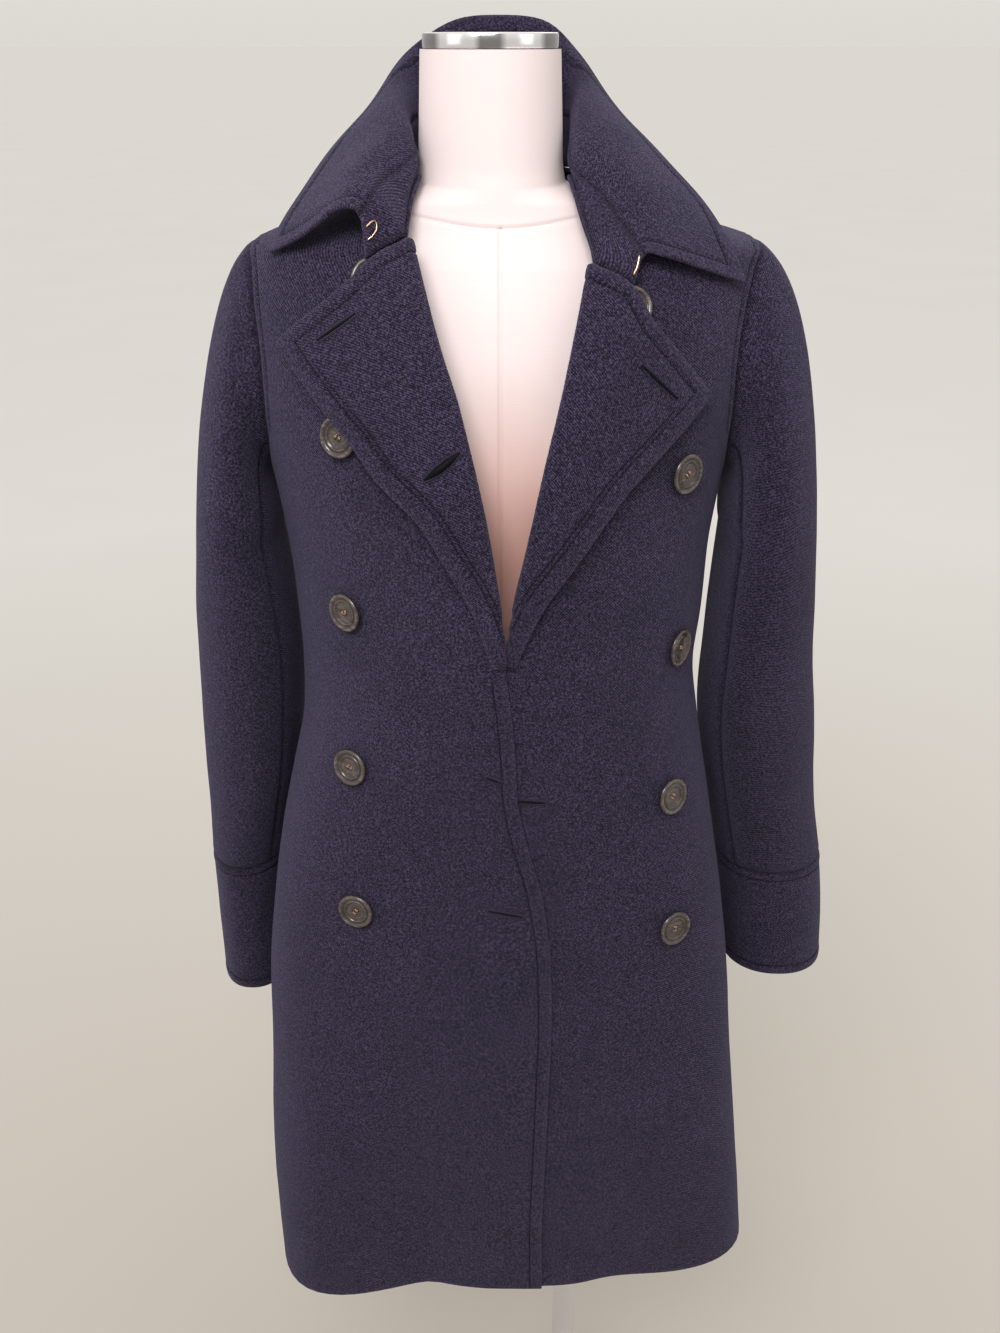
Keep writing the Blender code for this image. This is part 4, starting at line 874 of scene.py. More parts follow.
def add_bands(faces, rings):
    """Join each ring of point numbers to the next with quads or, at a tip, triangles."""
    for low, high in zip(rings, rings[1:]):
        for k in range(len(low)):
            n = (k + 1) % len(low)
            faces.append(tuple(dict.fromkeys((low[k], low[n], high[n], high[k]))))


def rim_direction(grid, i, j, borders, edges, normal):
    """Direction out of the cloth at a border place, and how far its rim bulges."""
    free = [border for border in borders if border in edges]
    out = np.zeros(3)
    for border in free or borders:
        inner = {"first": (i, j + 1), "last": (i, j - 1), "start": (i + 1, j), "end": (i - 1, j)}
        step = grid[i, j] - grid[inner[border]]
        out += step / max(np.linalg.norm(step), 1e-9)
    out -= normal * out.dot(normal)
    return out / max(np.linalg.norm(out), 1e-9), 1.0 if free else SEAM_RIM


def cloth_mesh(name, grid, normals, wall, edges, closed, flat_places, marks):
    """Closed wall of cloth with rounded rims, its weave places and its named marks."""
    rows, columns = grid.shape[:2]
    face = grid.reshape(-1, 3)
    back = face - normals.reshape(-1, 3) * wall
    points = [face, back]
    source = [np.arange(rows * columns)] * 2
    faces = []
    last = columns if closed else columns - 1
    under = rows * columns
    for i in range(rows - 1):
        for j in range(last):
            k = (j + 1) % columns
            quad = (i * columns + j, i * columns + k, (i + 1) * columns + k, (i + 1) * columns + j)
            faces.append(quad)
            faces.append(tuple(under + corner for corner in reversed(quad)))
    count = 2 * under
    for loop in perimeter(rows, columns, closed):
        places = [i * columns + j for i, j, _ in loop]
        rings = [places]
        outs = [rim_direction(grid, i, j, borders, edges, normals[i, j]) for i, j, borders in loop]
        for step in range(1, RIM_STEPS):
            angle = math.pi * step / RIM_STEPS
            ring = []
            for (i, j, _), (out, bulge) in zip(loop, outs):
                normal = normals[i, j]
                ring.append(grid[i, j] - normal * wall / 2 * (1 - math.cos(angle))
                            + out * wall / 2 * bulge * math.sin(angle))
            points.append(np.array(ring))
            source.append(np.array(places))
            rings.append(list(range(count, count + len(ring))))
            count += len(ring)
        rings.append([under + place for place in places])
        add_bands(faces, [ring[::-1] for ring in rings])
    points, source = np.concatenate(points), np.concatenate(source)
    mesh = bpy.data.meshes.new(name)
    mesh.from_pydata(points.tolist(), [], faces)
    mesh.validate()
    face_outward(mesh)
    weave = mesh.uv_layers.new(name="weave")
    corners = np.empty(len(mesh.loops), np.int64)
    mesh.loops.foreach_get("vertex_index", corners)
    weave.data.foreach_set("uv", flat_places.reshape(-1, 2)[source[corners]].ravel())
    for mark, values in marks.items():
        layer = mesh.attributes.new(mark, "FLOAT", "POINT")
        layer.data.foreach_set("value", values.reshape(-1)[source])
    return mesh


def show(name, mesh, material, slot, *nodes):
    """Object for a mesh in its material, riding on the coat and standing for its solids."""
    thing = bpy.data.objects.new(name, mesh)
    bpy.context.collection.objects.link(thing)
    mesh.materials.clear()
    mesh.materials.append(material)
    if nodes:
        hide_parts(*nodes)
    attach(thing, "root")
    return thing


def tint(colour, share):
    """Colour scaled by a share."""
    return tuple(min(part * share, 1.0) for part in colour[:3])


# Scale of a band pattern with bands a metre apart, turns of the weave's lines in degrees, the fade
# above a metal's painted reflection bands, and the pitch of twisted threads
WAVE_UNIT = 0.314
TWILL_TURN, CROSS_TURN = -52, 30
BAND_FADE = 0.0006
THREAD_TWIST, BUTTON_THREAD_TWIST, SLIT_TWIST = 0.0009, 0.0012, 0.002


class Looks:
    """A new node material, with short calls for the kinds of nodes that it needs."""

    def __init__(self, name):
        self.material = bpy.data.materials.new(name)
        self.material.use_nodes = True
        self.tree = self.material.node_tree
        self.place = self.add("TexCoord").outputs["Object"]

    def add(self, kind, settings=(), **inputs):
        """New node with its settings and inputs."""
        node = self.tree.nodes.new(f"ShaderNode{kind}")
        for key, value in dict(settings).items():
            setattr(node, key, value)
        self.feed(node, **inputs)
        return node

    def feed(self, node, **inputs):
        """Link or set inputs, each called by its name or, after an underscore, its number."""
        for key, value in inputs.items():
            place = int(key[1:]) if key[1:].isdigit() else key.replace("_", " ")
            if isinstance(value, bpy.types.NodeSocket):
                self.tree.links.new(value, node.inputs[place])
            else:
                node.inputs[place].default_value = value

    def mapped(self, place, **inputs):
        """Place moved, turned or stretched."""
        return self.add("Mapping", Vector=place, **inputs).outputs[0]

    def noise(self, scale, detail=2.0, roughness=0.5, place=None, distortion=0.0):
        """Cloudy pattern from 0 to 1."""
        return self.add("TexNoise", Vector=place or self.place, Scale=scale, Detail=detail,
                        Roughness=roughness, Distortion=distortion).outputs["Fac"]

    def bands(self, direction, pitch, distortion, detail=2.0, detail_scale=1.0, place=None):
        """Soft bands from 0 to 1, a pitch apart."""
        return self.add("TexWave", {"wave_type": "BANDS", "bands_direction": direction},
                        Vector=place or self.place, Scale=WAVE_UNIT / pitch,
                        Distortion=distortion, Detail=detail,
                        Detail_Scale=detail_scale).outputs["Fac"]

    def mark(self, name):
        """Value that the mesh carries under a name."""
        return self.add("Attribute", {"attribute_name": name}).outputs["Fac"]

    def height(self):
        """Height above the floor."""
        return self.add("SeparateXYZ", Vector=self.place).outputs["Z"]

    def scaled(self, value, settings=(), **limits):
        """Value moved from one span, by default 0 to 1, to another."""
        return self.add("MapRange", settings, Value=value, **limits).outputs[0]

    def maths(self, kind, first, second, clamp=False):
        """Sum, product or difference of two values."""
        return self.add("Math", {"operation": kind, "use_clamp": clamp}, _0=first,
                        _1=second).outputs[0]

    def total(self, *parts):
        """Sum of values, each times its share."""
        result = 0.0
        for value, share in parts:
            result = self.maths("ADD", result, self.maths("MULTIPLY", value, share))
        return result

    def ramp(self, factor, *stops):
        """Colour over a factor from (position, colour) stops."""
        node = self.add("ValToRGB", Fac=factor)
        elements = node.color_ramp.elements
        while len(elements) < len(stops):
            elements.new(0.5)
        for element, (place, colour) in zip(elements, stops):
            element.position = place
            element.color = (*colour, 1.0)
        return node.outputs["Color"]

    def blend(self, factor, first, second, kind="MIX"):
        """Colour between two colours, or the first one times the second."""
        if not isinstance(second, bpy.types.NodeSocket):
            second = (*second, 1.0)
        return self.add("Mix", {"data_type": "RGBA", "blend_type": kind}, Factor=factor, _6=first,
                        _7=second).outputs[2]

    def bump(self, height, strength, distance):
        """Surface direction over small relief."""
        return self.add("Bump", Strength=strength, Distance=distance, Height=height).outputs[0]

    def finish(self, **inputs):
        """The material with its shader's inputs."""
        self.feed(self.tree.nodes["Principled BSDF"], **inputs)
        return self.material


def wool_material():
    """Milled wool twill: weave, fibres, soft shade changes and fuzz, paler along worn edges, and
    painted shadow in the grooves of seams and stitching.
    """
    cloth = bpy.context.scene.coat_cloth
    looks = Looks("wool_twill")
    weave = looks.add("UVMap", {"uv_map": "weave"}).outputs["UV"]
    twill = looks.bands("X", cloth.twill_pitch, 1.2, 1.0, 2.0,
                        looks.mapped(weave, Rotation=(0.0, 0.0, math.radians(TWILL_TURN))))
    cross = looks.bands("X", 0.8 * cloth.twill_pitch, 0.8, 1.0, 2.0,
                        looks.mapped(weave, Rotation=(0.0, 0.0, math.radians(CROSS_TURN))))
    fibres = looks.noise(1500.0, 2.0, 0.7)
    tufts = looks.noise(cloth.tuft_scale, 2.0, 0.6)
    shades = looks.noise(14.0, 4.0, 0.55)
    threads = looks.maths("MULTIPLY", twill, looks.maths("ADD", cross, 0.6))
    mixed = looks.total((threads, 0.22), (tufts, 1.50), (fibres, 0.80))
    mixed = looks.maths("SUBTRACT", mixed, 0.79, clamp=True)
    colour = looks.ramp(mixed, (0.24, cloth.wool_dark), (0.48, cloth.wool_middle),
                        (0.74, cloth.wool_light))
    broad = looks.ramp(shades, (0.30, (0.86, 0.86, 0.88)), (0.70, (1.10, 1.06, 1.08)))
    colour = looks.blend(1.0, colour, broad, "MULTIPLY")
    worn = looks.scaled(looks.mark("edge_away"), From_Max=cloth.worn_width, To_Min=cloth.wear,
                        To_Max=0.0)
    colour = looks.blend(looks.maths("MULTIPLY", worn, tufts), colour, tint(cloth.wool_light, 1.4))
    # Painted shadow: cloth darkened in the grooves of seams and stitching
    pressed = looks.maths("MULTIPLY", looks.mark("pressed"), cloth.painted_groove_shadow, clamp=True)
    height = looks.total((threads, 0.35), (fibres, 0.5), (tufts, 0.8))
    return looks.finish(
        Base_Color=looks.blend(pressed, colour, tint(cloth.wool_dark, 0.5)),
        Roughness=looks.scaled(tufts, To_Min=0.82),
        Normal=looks.bump(height, cloth.weave_relief, 0.0010),
        Specular_IOR_Level=0.15, Sheen_Weight=cloth.fuzz, Sheen_Roughness=0.45,
        Sheen_Tint=(*cloth.fuzz_colour, 1.0))


def thread_material(name, dark, light, twist):
    """Twisted thread: fine slanted bands between a shaded and a lit shade, painted light and shade
    along the twist.
    """
    looks = Looks(name)
    bands = looks.bands("DIAGONAL", twist, 2.0)
    speck = looks.noise(2500.0)
    return looks.finish(
        Base_Color=looks.ramp(looks.total((bands, 0.6), (speck, 0.4)), (0.2, dark), (0.8, light)),
        Roughness=looks.scaled(speck, To_Min=0.5, To_Max=0.8), Normal=looks.bump(bands, 0.5, 0.0002),
        Specular_IOR_Level=0.12)


def horn_material():
    """Polished horn: smoky streaks and fine scratches, with painted highlights and shade in rings
    round the dish.
    """
    buttons = bpy.context.scene.coat_buttons
    looks = Looks("polished_horn")
    streaks = looks.noise(1.3, 5.0, 0.6, looks.mapped(looks.place, Scale=(60.0, 60.0, 160.0)), 1.5)
    specks = looks.noise(900.0)
    colour = looks.ramp(streaks, (0.30, buttons.horn_dark), (0.52, buttons.horn_middle),
                        (0.72, buttons.horn_light))
    away = looks.scaled(looks.mark("from_axis"), From_Max=BUTTON_RADIUS)
    # Painted light and shade: ridges and rim lighter, grooves darker
    rings = looks.ramp(away, *((place, (shade, shade, shade)) for place, shade in HORN_LIGHT_AND_SHADE))
    return looks.finish(
        Base_Color=looks.blend(1.0, colour, rings, "MULTIPLY"),
        Roughness=looks.scaled(specks, To_Min=0.20, To_Max=0.36),
        Normal=looks.bump(specks, 0.12, 0.0003),
        Specular_IOR_Level=0.4, Coat_Weight=0.35, Coat_Roughness=0.12)


def metal_material(name, colour, roughness, scratch_scale, scratch, band_width, painted_reflection_shade,
                   band_top_z):
    """Metal with fine brushing, and upright dark bands below a height, painted reflections of the
    room.
    """
    looks = Looks(name)
    lines = looks.noise(scratch_scale, 3.0, 0.7, looks.mapped(looks.place, Scale=(1.0, 1.0, 12.0)))
    upright = looks.mapped(looks.place, Location=(-NECK_MIDDLE_X, 0.0, 0.0), Scale=(1.0, 1.0, 0.0))
    # Painted reflection: dark upright bands stand for the room mirrored in the polish
    bands = looks.bands("X", band_width, 0.7, 1.0, 3.0, upright)
    above = looks.scaled(looks.height(), From_Min=band_top_z - BAND_FADE, From_Max=band_top_z)
    return looks.finish(
        Base_Color=looks.ramp(looks.maths("ADD", bands, above, clamp=True),
                              (0.22, tint(colour, painted_reflection_shade)), (0.55, tint(colour, 1.0))),
        Roughness=looks.scaled(lines, To_Min=roughness * 0.7, To_Max=roughness * 1.5),
        Normal=looks.bump(lines, scratch, 0.0002), Metallic=1.0)


def jersey_material():
    """Fine cotton jersey over padding: knit ribs, faint shade changes, soft fuzz."""
    form = bpy.context.scene.coat_form
    looks = Looks("cover_jersey")
    knots = looks.noise(1100.0)
    mixed = looks.total((looks.bands("Z", form.knit_pitch, 1.0), 0.25), (knots, 0.35),
                        (looks.noise(10.0, 3.0), 0.40))
    cover = looks.ramp(mixed, (0.25, form.jersey_shade), (0.75, form.jersey_light))
    warmth = looks.scaled(looks.height(), {"interpolation_type": "SMOOTHSTEP"},
                          From_Min=form.warm_top_z, From_Max=form.warm_low_z)
    return looks.finish(
        Base_Color=looks.blend(warmth, cover, form.jersey_warm, "MULTIPLY"),
        Roughness=looks.scaled(knots, To_Min=0.75, To_Max=0.95),
        Normal=looks.bump(mixed, 0.25, 0.0004),
        Sheen_Weight=0.15, Sheen_Tint=(1.0, 0.95, 0.9, 1.0))


def floor_material():
    """Floor, faintly clouded, with painted shade round the stand that fades to its plain paler colour
    farther off.
    """
    stage = bpy.context.scene.coat_stage
    looks = Looks("pale_floor")
    clouded = looks.ramp(looks.noise(1.5, 3.0), (0.3, tint(stage.floor_colour, 0.98)),
                         (0.7, stage.floor_colour))
    away = looks.add("VectorMath", {"operation": "LENGTH"}, Vector=looks.place).outputs["Value"]
    reach = looks.scaled(away, From_Max=stage.pale_reach)
    # Painted shade: the floor is darker round the stand and paler away from it
    return looks.finish(Base_Color=looks.blend(reach, (*stage.floor_painted_shade, 1.0), clouded),
                        Roughness=0.9, Specular_IOR_Level=0.0)


sewing = {}


def make_cloth(name, grid, normals, wall, edges, seams, flat_places, closed=False):
    """A cut piece of the coat: trimmed, given its relief, closed to a wall and shown."""
    for border in edges:
        grid = pulled_in(grid, border, wall / 2)
    for border in seams:
        grid = pulled_in(grid, border, SEAM_GAP / 2)
    rows = [row for row in STITCHINGS if row.piece == name]
    height, edge_away, pressed = relief(grid, normals, edges, seams, rows, closed)
    grid = grid + normals * height[..., None]
    sewing[name] = [line for row in rows for line in stitched_lines(grid, normals, row, closed)]
    mesh = cloth_mesh(f"{name}_cloth", grid, normals, wall, edges, closed, flat_places,
                      {"edge_away": edge_away, "pressed": pressed})
    wool = bpy.data.materials.get("wool_twill") or wool_material()
    return show(f"{name}_cloth", mesh, wool, "navy_wool", name)


def unit_normals(grid, toward, closed=False):
    """Unit normals of a fine grid, on the side of its toward directions."""
    if closed:
        along = np.roll(grid, -1, axis=1) - np.roll(grid, 1, axis=1)
    else:
        along = np.gradient(grid, axis=1)
    normals = np.cross(along, np.gradient(grid, axis=0))
    normals /= np.maximum(np.linalg.norm(normals, axis=2, keepdims=True), 1e-12)
    return normals if (normals * toward).sum() > 0 else -normals


def panel_heights():
    """Heights of a body panel's rows: close at the hem, the armhole and the shoulder."""
    hem = [HEM_Z + EDGE_STEP * k for k in range(HEM_ROWS)]
    skirt = list(np.arange(hem[-1] + ROW_STEP, BREAK_Z - ROW_STEP, ROW_STEP))
    chest = [BREAK_Z - BREAK_ROW, *np.arange(BREAK_Z, UNDERARM_Z - ROW_STEP / 2, ROW_STEP)]
    shoulder = list(np.linspace(SHOULDER_TIP_Z, NECK_Z, SHOULDER_ROWS)[1:])
    return hem + skirt + chest + armhole_heights() + shoulder


def panel_row(side, z, inner, outer):
    """Points, normals and flat places of one row between two angles from the centre front."""
    coarse = np.linspace(inner, outer, ARC_SAMPLES)
    line = np.array([body_point(side * angle, z) for angle in coarse])
    lengths = lengths_along(line)
    angles = np.interp(across_row(lengths[-1], BODY_COLUMNS), lengths, coarse)
    points, normals = [], []
    for angle in angles:
        normal = body_normal(side * angle, z)
        point = body_point(side * angle, z)
        if side == RIGHT and angle < SIDE_ANGLE:
            point += normal * lap_lift(point.x, z)
        points.append(point)
        normals.append(normal)
    flat = [(math.radians(side * angle) * FLAT_RADIUS, z) for angle in angles]
    return points, normals, flat


def body_panel(side, part):
    """Grid, normals and flat places of a front or back."""
    rows = []
    for z in panel_heights():
        inside = UNDERARM_Z < z < SHOULDER_TIP_Z
        if part == "front":
            outer = SIDE_ANGLE - (armhole_angle(z, ARMHOLE_FRONT) if inside else 0)
            inner = front_angle(front_edge_x(side, z), z) * side
            rows.append(panel_row(side, z, min(inner, outer - PANEL_LEAST_ANGLE), outer))
        else:
            inner = SIDE_ANGLE + (armhole_angle(z, ARMHOLE_BACK) if inside else 0)
            rows.append(panel_row(side, z, inner, BACK_ANGLE))
    return tuple(np.array([row[k] for row in rows]) for k in range(3))


def lapel_row(side, v):
    """One row of a lapel's shown face, round the fold and out to the edge, and the fold's normals."""
    start = lapel_place(side, v, 0)
    near = lapel_place(side, v - PLACE_STEP if v > 0.5 else v + PLACE_STEP, 0)
    radius, height = fold_size(start.y)
    bed = front_surface(side, start.x + side * radius, start.y)
    other = front_surface(side, near.x + side * radius, near.y)
    normal = body_normal(front_angle(start.x + side * radius, start.y), start.y)
    inward = normal.cross(other - bed).normalized()
    if inward.x * side > 0:
        inward = -inward
    middle = bed + normal * (height - BODY_WALL) / 2
    row, facing = [], []
    for turn in range(FOLD_STEPS):
        angle = math.pi * turn / FOLD_STEPS
        facing.append(inward * math.sin(angle) - normal * math.cos(angle))
        row.append(middle + radius * facing[-1])
    width = (lapel_place(side, v, 1) - start).length
    for place_across in across_row(width, LAPEL_COLUMNS, fine_first=False):
        w = float(place_across / width)
        place = lapel_place(side, v, w)
        place.x += side * radius * (1 - w)
        distance = (place - start).length - radius
        rise = lapel_height(place.y, max(distance, 0))
        row.append(front_surface(side, place.x, place.y, rise))
    return row, facing


def away_from_axis(grid):
    """Directions out of the body at a grid's points."""
    return grid * np.array((1.0, 1.0, 0.0))


def flat_from_lengths(grid, mirror=1):
    """Flat places of a grid's points from the lengths along its rows and columns."""
    across = np.concatenate((np.zeros((len(grid), 1)), np.cumsum(
        np.linalg.norm(np.diff(grid, axis=1), axis=2), axis=1)), axis=1)
    up = np.concatenate((np.zeros((1, grid.shape[1])), np.cumsum(
        np.linalg.norm(np.diff(grid, axis=0), axis=2), axis=0)), axis=0)
    return np.stack((mirror * across, up), axis=2)


def collar_rows(rows):
    """Grid of the collar at places along its lines, round from right to left."""
    ends = [1 - COLLAR_END_STEP * k for k in range(COLLAR_END_COLUMNS)]
    inner = np.linspace(0, ends[-1], COLLAR_COLUMNS // 2)[:-1].tolist()
    stations = sorted(set([-s for s in ends + inner] + ends + inner))
    columns = []
    for s in stations:
        curve = [Place(k, *point) for k, point in enumerate(collar_line(s))]
        columns.append([smooth(curve, float(at))[1:] for at in rows])
    return np.array(columns).transpose(1, 0, 2)


def armhole_ring(side):
    """Armhole from the underarm up the front and down the back: points, normals, inward."""
    heights = armhole_heights()
    front = [(side * (SIDE_ANGLE - armhole_angle(z, ARMHOLE_FRONT)), z) for z in heights]
    back = [(side * (SIDE_ANGLE + armhole_angle(z, ARMHOLE_BACK)), z) for z in heights]
    spots = front + back[-2:0:-1]
    points = [body_point(*spot) for spot in spots]
    normals = [body_normal(*spot) for spot in spots]
    centre = sum(points, Vector()) / len(points)
    inward = []
    for k, point in enumerate(points):
        along = points[(k + 1) % len(points)] - points[k - 1]
        into = normals[k].cross(along).normalized()
        inward.append(into if into.dot(centre - point) > 0 else -into)
    return points, normals, inward


def cap_point(side, a, b, u):
    """Point of a sleeve's cap, from a on the armhole at u = 0 to b on the sleeve at u = 1."""
    high = (a.z - UNDERARM_Z) / (SHOULDER_TIP_Z - UNDERARM_Z)
    out = Vector((side, (b.y - a.y) * CAP_SPREAD, -CAP_DROOP * high))
    out *= CAP_PULL_LOW + (CAP_PULLS[side] - CAP_PULL_LOW) * high
    down = Vector((side * CAP_OUT, 0, -(a.z - b.z) * CAP_FALL))
    return hermite(a, b, out, down, u)


def sleeve_grid(side):
    """Rows and normals of a whole sleeve, from the armhole over the cap to the cuff seam."""
    start, edge_normals, inward = armhole_ring(side)
    start = [a + into * SEAM_GAP for a, into in zip(start, inward)]
    below = sleeve_ring(side, CAP_START_Z, len(start))
    steps = [*CAP_FIRST_STEPS, *np.linspace(CAP_EVEN_FROM, 1, CAP_STEPS).tolist()]
    grid = [[cap_point(side, a, b, u) for a, b in zip(start, below)] for u in steps]
    low = CUFF_SEAM_Z + SEAM_GAP
    lower = np.arange(CAP_START_Z - ROW_STEP, low + SLEEVE_LAST_REACH, -ROW_STEP)
    for z in (*lower, *(low + step for step in SLEEVE_LAST_ROWS)):
        grid.append(sleeve_ring(side, float(z), len(start)))
    grid = np.array(grid)
    toward = np.array([[away_from_sleeve(side)(Vector(point)) for point in line] for line in grid])
    normals = unit_normals(grid, toward, closed=True)
    for k, a in enumerate(start):
        high = (a.z - UNDERARM_Z) / (SHOULDER_TIP_Z - UNDERARM_Z)
        blend = ease(high * 2)
        normals[0][k] = Vector(normals[0][k]).lerp(edge_normals[k], blend).normalized()
    return grid, normals


def solid_mesh(name, verts, faces):
    """Mesh from points and faces with its normals outward, shaded smooth."""
    mesh = bpy.data.meshes.new(name)
    mesh.from_pydata([tuple(vert) for vert in verts], [], faces)
    face_outward(mesh)
    return mesh


def circle(sides):
    """Cosine and sine of even turns round a circle."""
    turns = [2 * math.pi * side / sides for side in range(sides)]
    return [(math.cos(turn), math.sin(turn)) for turn in turns]


def add_tube(verts, faces, points, radii, sides):
    """Round tube along points, tapered by its radii, with closed ends."""
    points = [Vector(point) for point in points]
    rings = []
    for k, point in enumerate(points):
        along = (points[min(k + 1, len(points) - 1)] - points[max(k - 1, 0)]).normalized()
        across = along.orthogonal().normalized()
        over = along.cross(across)
        rings.append(list(range(len(verts), len(verts) + sides)))
        verts += [point + (across * x + over * y) * radii[k] for x, y in circle(sides)]
    add_bands(faces, rings)
    faces.append(tuple(reversed(rings[0])))
    faces.append(tuple(rings[-1]))


def add_stitches(verts, faces, line):
    """Stitches along a line of points and normals, dipping into the cloth between them."""
    cloth = bpy.context.scene.coat_cloth
    if len(line) < 3:
        return
    points, normals = (np.array(part) for part in zip(*line))
    lengths = lengths_along(points)

    def at(place, rise):
        spot, normal = ([np.interp(place, lengths, part[:, k]) for k in range(3)]
                        for part in (points, normals))
        return Vector(spot) + Vector(normal).normalized() * rise

    pitch = cloth.stitch_length + cloth.stitch_gap
    radius = cloth.thread_width / 2
    for number in range(int(lengths[-1] / pitch)):
        tube = [at(number * pitch + cloth.stitch_length * share, radius * rise)
                for share, rise in STITCH_ARCH]
        add_tube(verts, faces, tube, [radius * share for share in STITCH_TAPER], STITCH_SIDES)


def turned_mesh(name, profile, sides):
    """Mesh turned round its own Z axis from radius and height points."""
    verts, faces, rings = [], [], []
    for radius, height in profile:
        count = sides if radius else 1
        rings.append([len(verts) + k % count for k in range(sides)])
        verts += [(radius * x, radius * y, height) for x, y in circle(sides)[:count]]
    add_bands(faces, rings)
    return solid_mesh(name, verts, faces)


def smooth_route(route, shares):
    """Route or profile with more points on smooth curves through its own."""
    table = [Spot(k, *row) for k, row in enumerate(route)]
    steps = np.linspace(0, len(table) - 1, (len(table) - 1) * shares + 1)
    return [tuple(smooth(table, float(step))[1:]) for step in steps]


def cut_holes(mesh):
    """Button mesh with its four holes cut through."""
    buttons = bpy.context.scene.coat_buttons
    body = bpy.data.objects.new("button_blank", mesh)
    verts, faces = [], []
    for quarter in range(4):
        angle = math.pi / 4 + math.pi / 2 * quarter
        middle = Vector((math.cos(angle), math.sin(angle), 0)) * HOLE_REACH
        add_tube(verts, faces, [middle + Vector((0, 0, z)) for z in (0.0, DRILL_DEPTH)],
                 [buttons.hole_radius] * 2, DRILL_SIDES)
    drill = bpy.data.objects.new("button_drill", solid_mesh("button_drill", verts, faces))
    for thing in (body, drill):
        bpy.context.collection.objects.link(thing)
    cut = body.modifiers.new("holes", "BOOLEAN")
    cut.object = drill
    cut.solver = "EXACT"
    graph = bpy.context.evaluated_depsgraph_get()
    made = bpy.data.meshes.new_from_object(body.evaluated_get(graph))
    for thing in (body, drill):
        bpy.data.objects.remove(thing)
    made.shade_smooth()
    made.set_sharp_from_angle(angle=SHARP_TURN)
    return made


def node_points(node):
    """Different points of a CAD node's mesh."""
    mesh = bpy.data.objects[node].data
    points = np.empty(len(mesh.vertices) * 3)
    mesh.vertices.foreach_get("co", points)
    return np.unique(points.reshape(-1, 3).round(6), axis=0)


def button_place(node):
    """Matrix that puts a turned button on its CAD solid: its foot, axis and turn."""
    points = node_points(node)
    middle = points.mean(axis=0)
    axis = np.linalg.svd(points - middle)[2][2]
    if axis.dot(middle * np.array((1, 1, 0))) < 0:
        axis = -axis
    foot = middle + axis * ((points - middle) @ axis).min()
    turn = Vector(axis).to_track_quat("Z", "Y").to_matrix().to_4x4()
    spin = Matrix.Rotation(math.radians(BUTTON_TURNS[node]), 4, "Z")
    return Matrix.Translation(foot) @ turn @ spin


def button_threads(verts, faces):
    """Shank and two bars of thread over a button's holes."""
    radius = bpy.context.scene.coat_buttons.thread_width / 2
    add_tube(verts, faces, [(0, 0, height) for _, height in SHANK], [wide for wide, _ in SHANK],
             SHANK_SIDES)
    reach = HOLE_REACH * math.cos(math.pi / 4)
    for bar in (-1, 1):
        for strand in STRANDS:
            x = bar * reach + strand * radius * STRAND_PITCH
            lift = STRAND_LIFT + STRAND_SWAY * math.cos(strand * 2 + bar)
            half = [(x * 0.9, 1.0, STRAND_FOOT), (x, 0.95, BUTTON_FLOOR - STRAND_SINK),
                    (x, 0.6, BUTTON_FLOOR + lift * 0.7)]
            route = [(across, -reach * share, height) for across, share, height in half]
            route.append((x, 0, BUTTON_FLOOR + lift))
            route += [(across, reach * share, height) for across, share, height in reversed(half)]
            add_tube(verts, faces, route, [radius] * len(route), STRAND_SIDES)


def ring_angles():
    """Angles round the form, close together beside its centre front seam."""
    fine = [FORM_FINE_TURN * step for step in range(-FORM_FINE_COUNT, FORM_FINE_COUNT + 1)]
    return fine + list(np.linspace(fine[-1], 360 + fine[0], FORM_COARSE_COUNT)[1:-1])


def form_ring(angle, z):
    """Point of the whole form at an angle and height, neck included."""
    neck_low = FORM_NECK[0].z
    if z >= neck_low:
        return section_point(smooth(FORM_NECK, z)._replace(z=z), angle)
    body_top = neck_low - NECK_BLEND
    if z <= body_top:
        return form_point(angle, z)
    share = (z - body_top) / (neck_low - body_top)
    below, above = form_point(angle, body_top), section_point(FORM_NECK[0], angle)
    point = below.lerp(above, share)
    point.z = z
    return point


def form_mesh():
    """Form's torso and neck with its seams pressed in."""
    form = bpy.context.scene.coat_form
    angles = ring_angles()
    top = FORM_NECK[-1].z
    levels = [level for span in FORM_LEVELS for level in np.arange(*span)] + [top]
    verts, faces, rings = [], [], []
    for level in levels:
        window = ease((level - TILT_LOW_Z) / TILT_FADE) * ease((TILT_HIGH_Z - level) / TILT_FADE)
        ring = []
        for angle in angles:
            rise = NECK_SEAM_RISE * (1 - math.cos(math.radians(angle)))
            z = level + window * rise
            point = form_ring(angle, min(z, top))
            out = Vector((point.x, point.y, 0)).normalized()
            dip = form.seam_depth * math.exp(-((level - NECK_SEAM_Z) / form.seam_width) ** 2)
            if level < NECK_SEAM_Z and point.y < 0:
                dip += form.seam_depth * math.exp(-(point.x / form.seam_width) ** 2)
            ring.append(len(verts))
            verts.append(point - out * dip)
        rings.append(ring)
    add_bands(faces, rings)
    for ring in (rings[0], rings[-1]):
        middle = len(verts)
        verts.append(sum((verts[k] for k in ring), Vector()) / len(ring))
        faces += [(ring[j], ring[(j + 1) % len(ring)], middle) for j in range(len(ring))]
    mesh = solid_mesh("form_torso_jersey", verts, faces)
    mesh.set_sharp_from_angle(angle=SHARP_TURN)
    return mesh


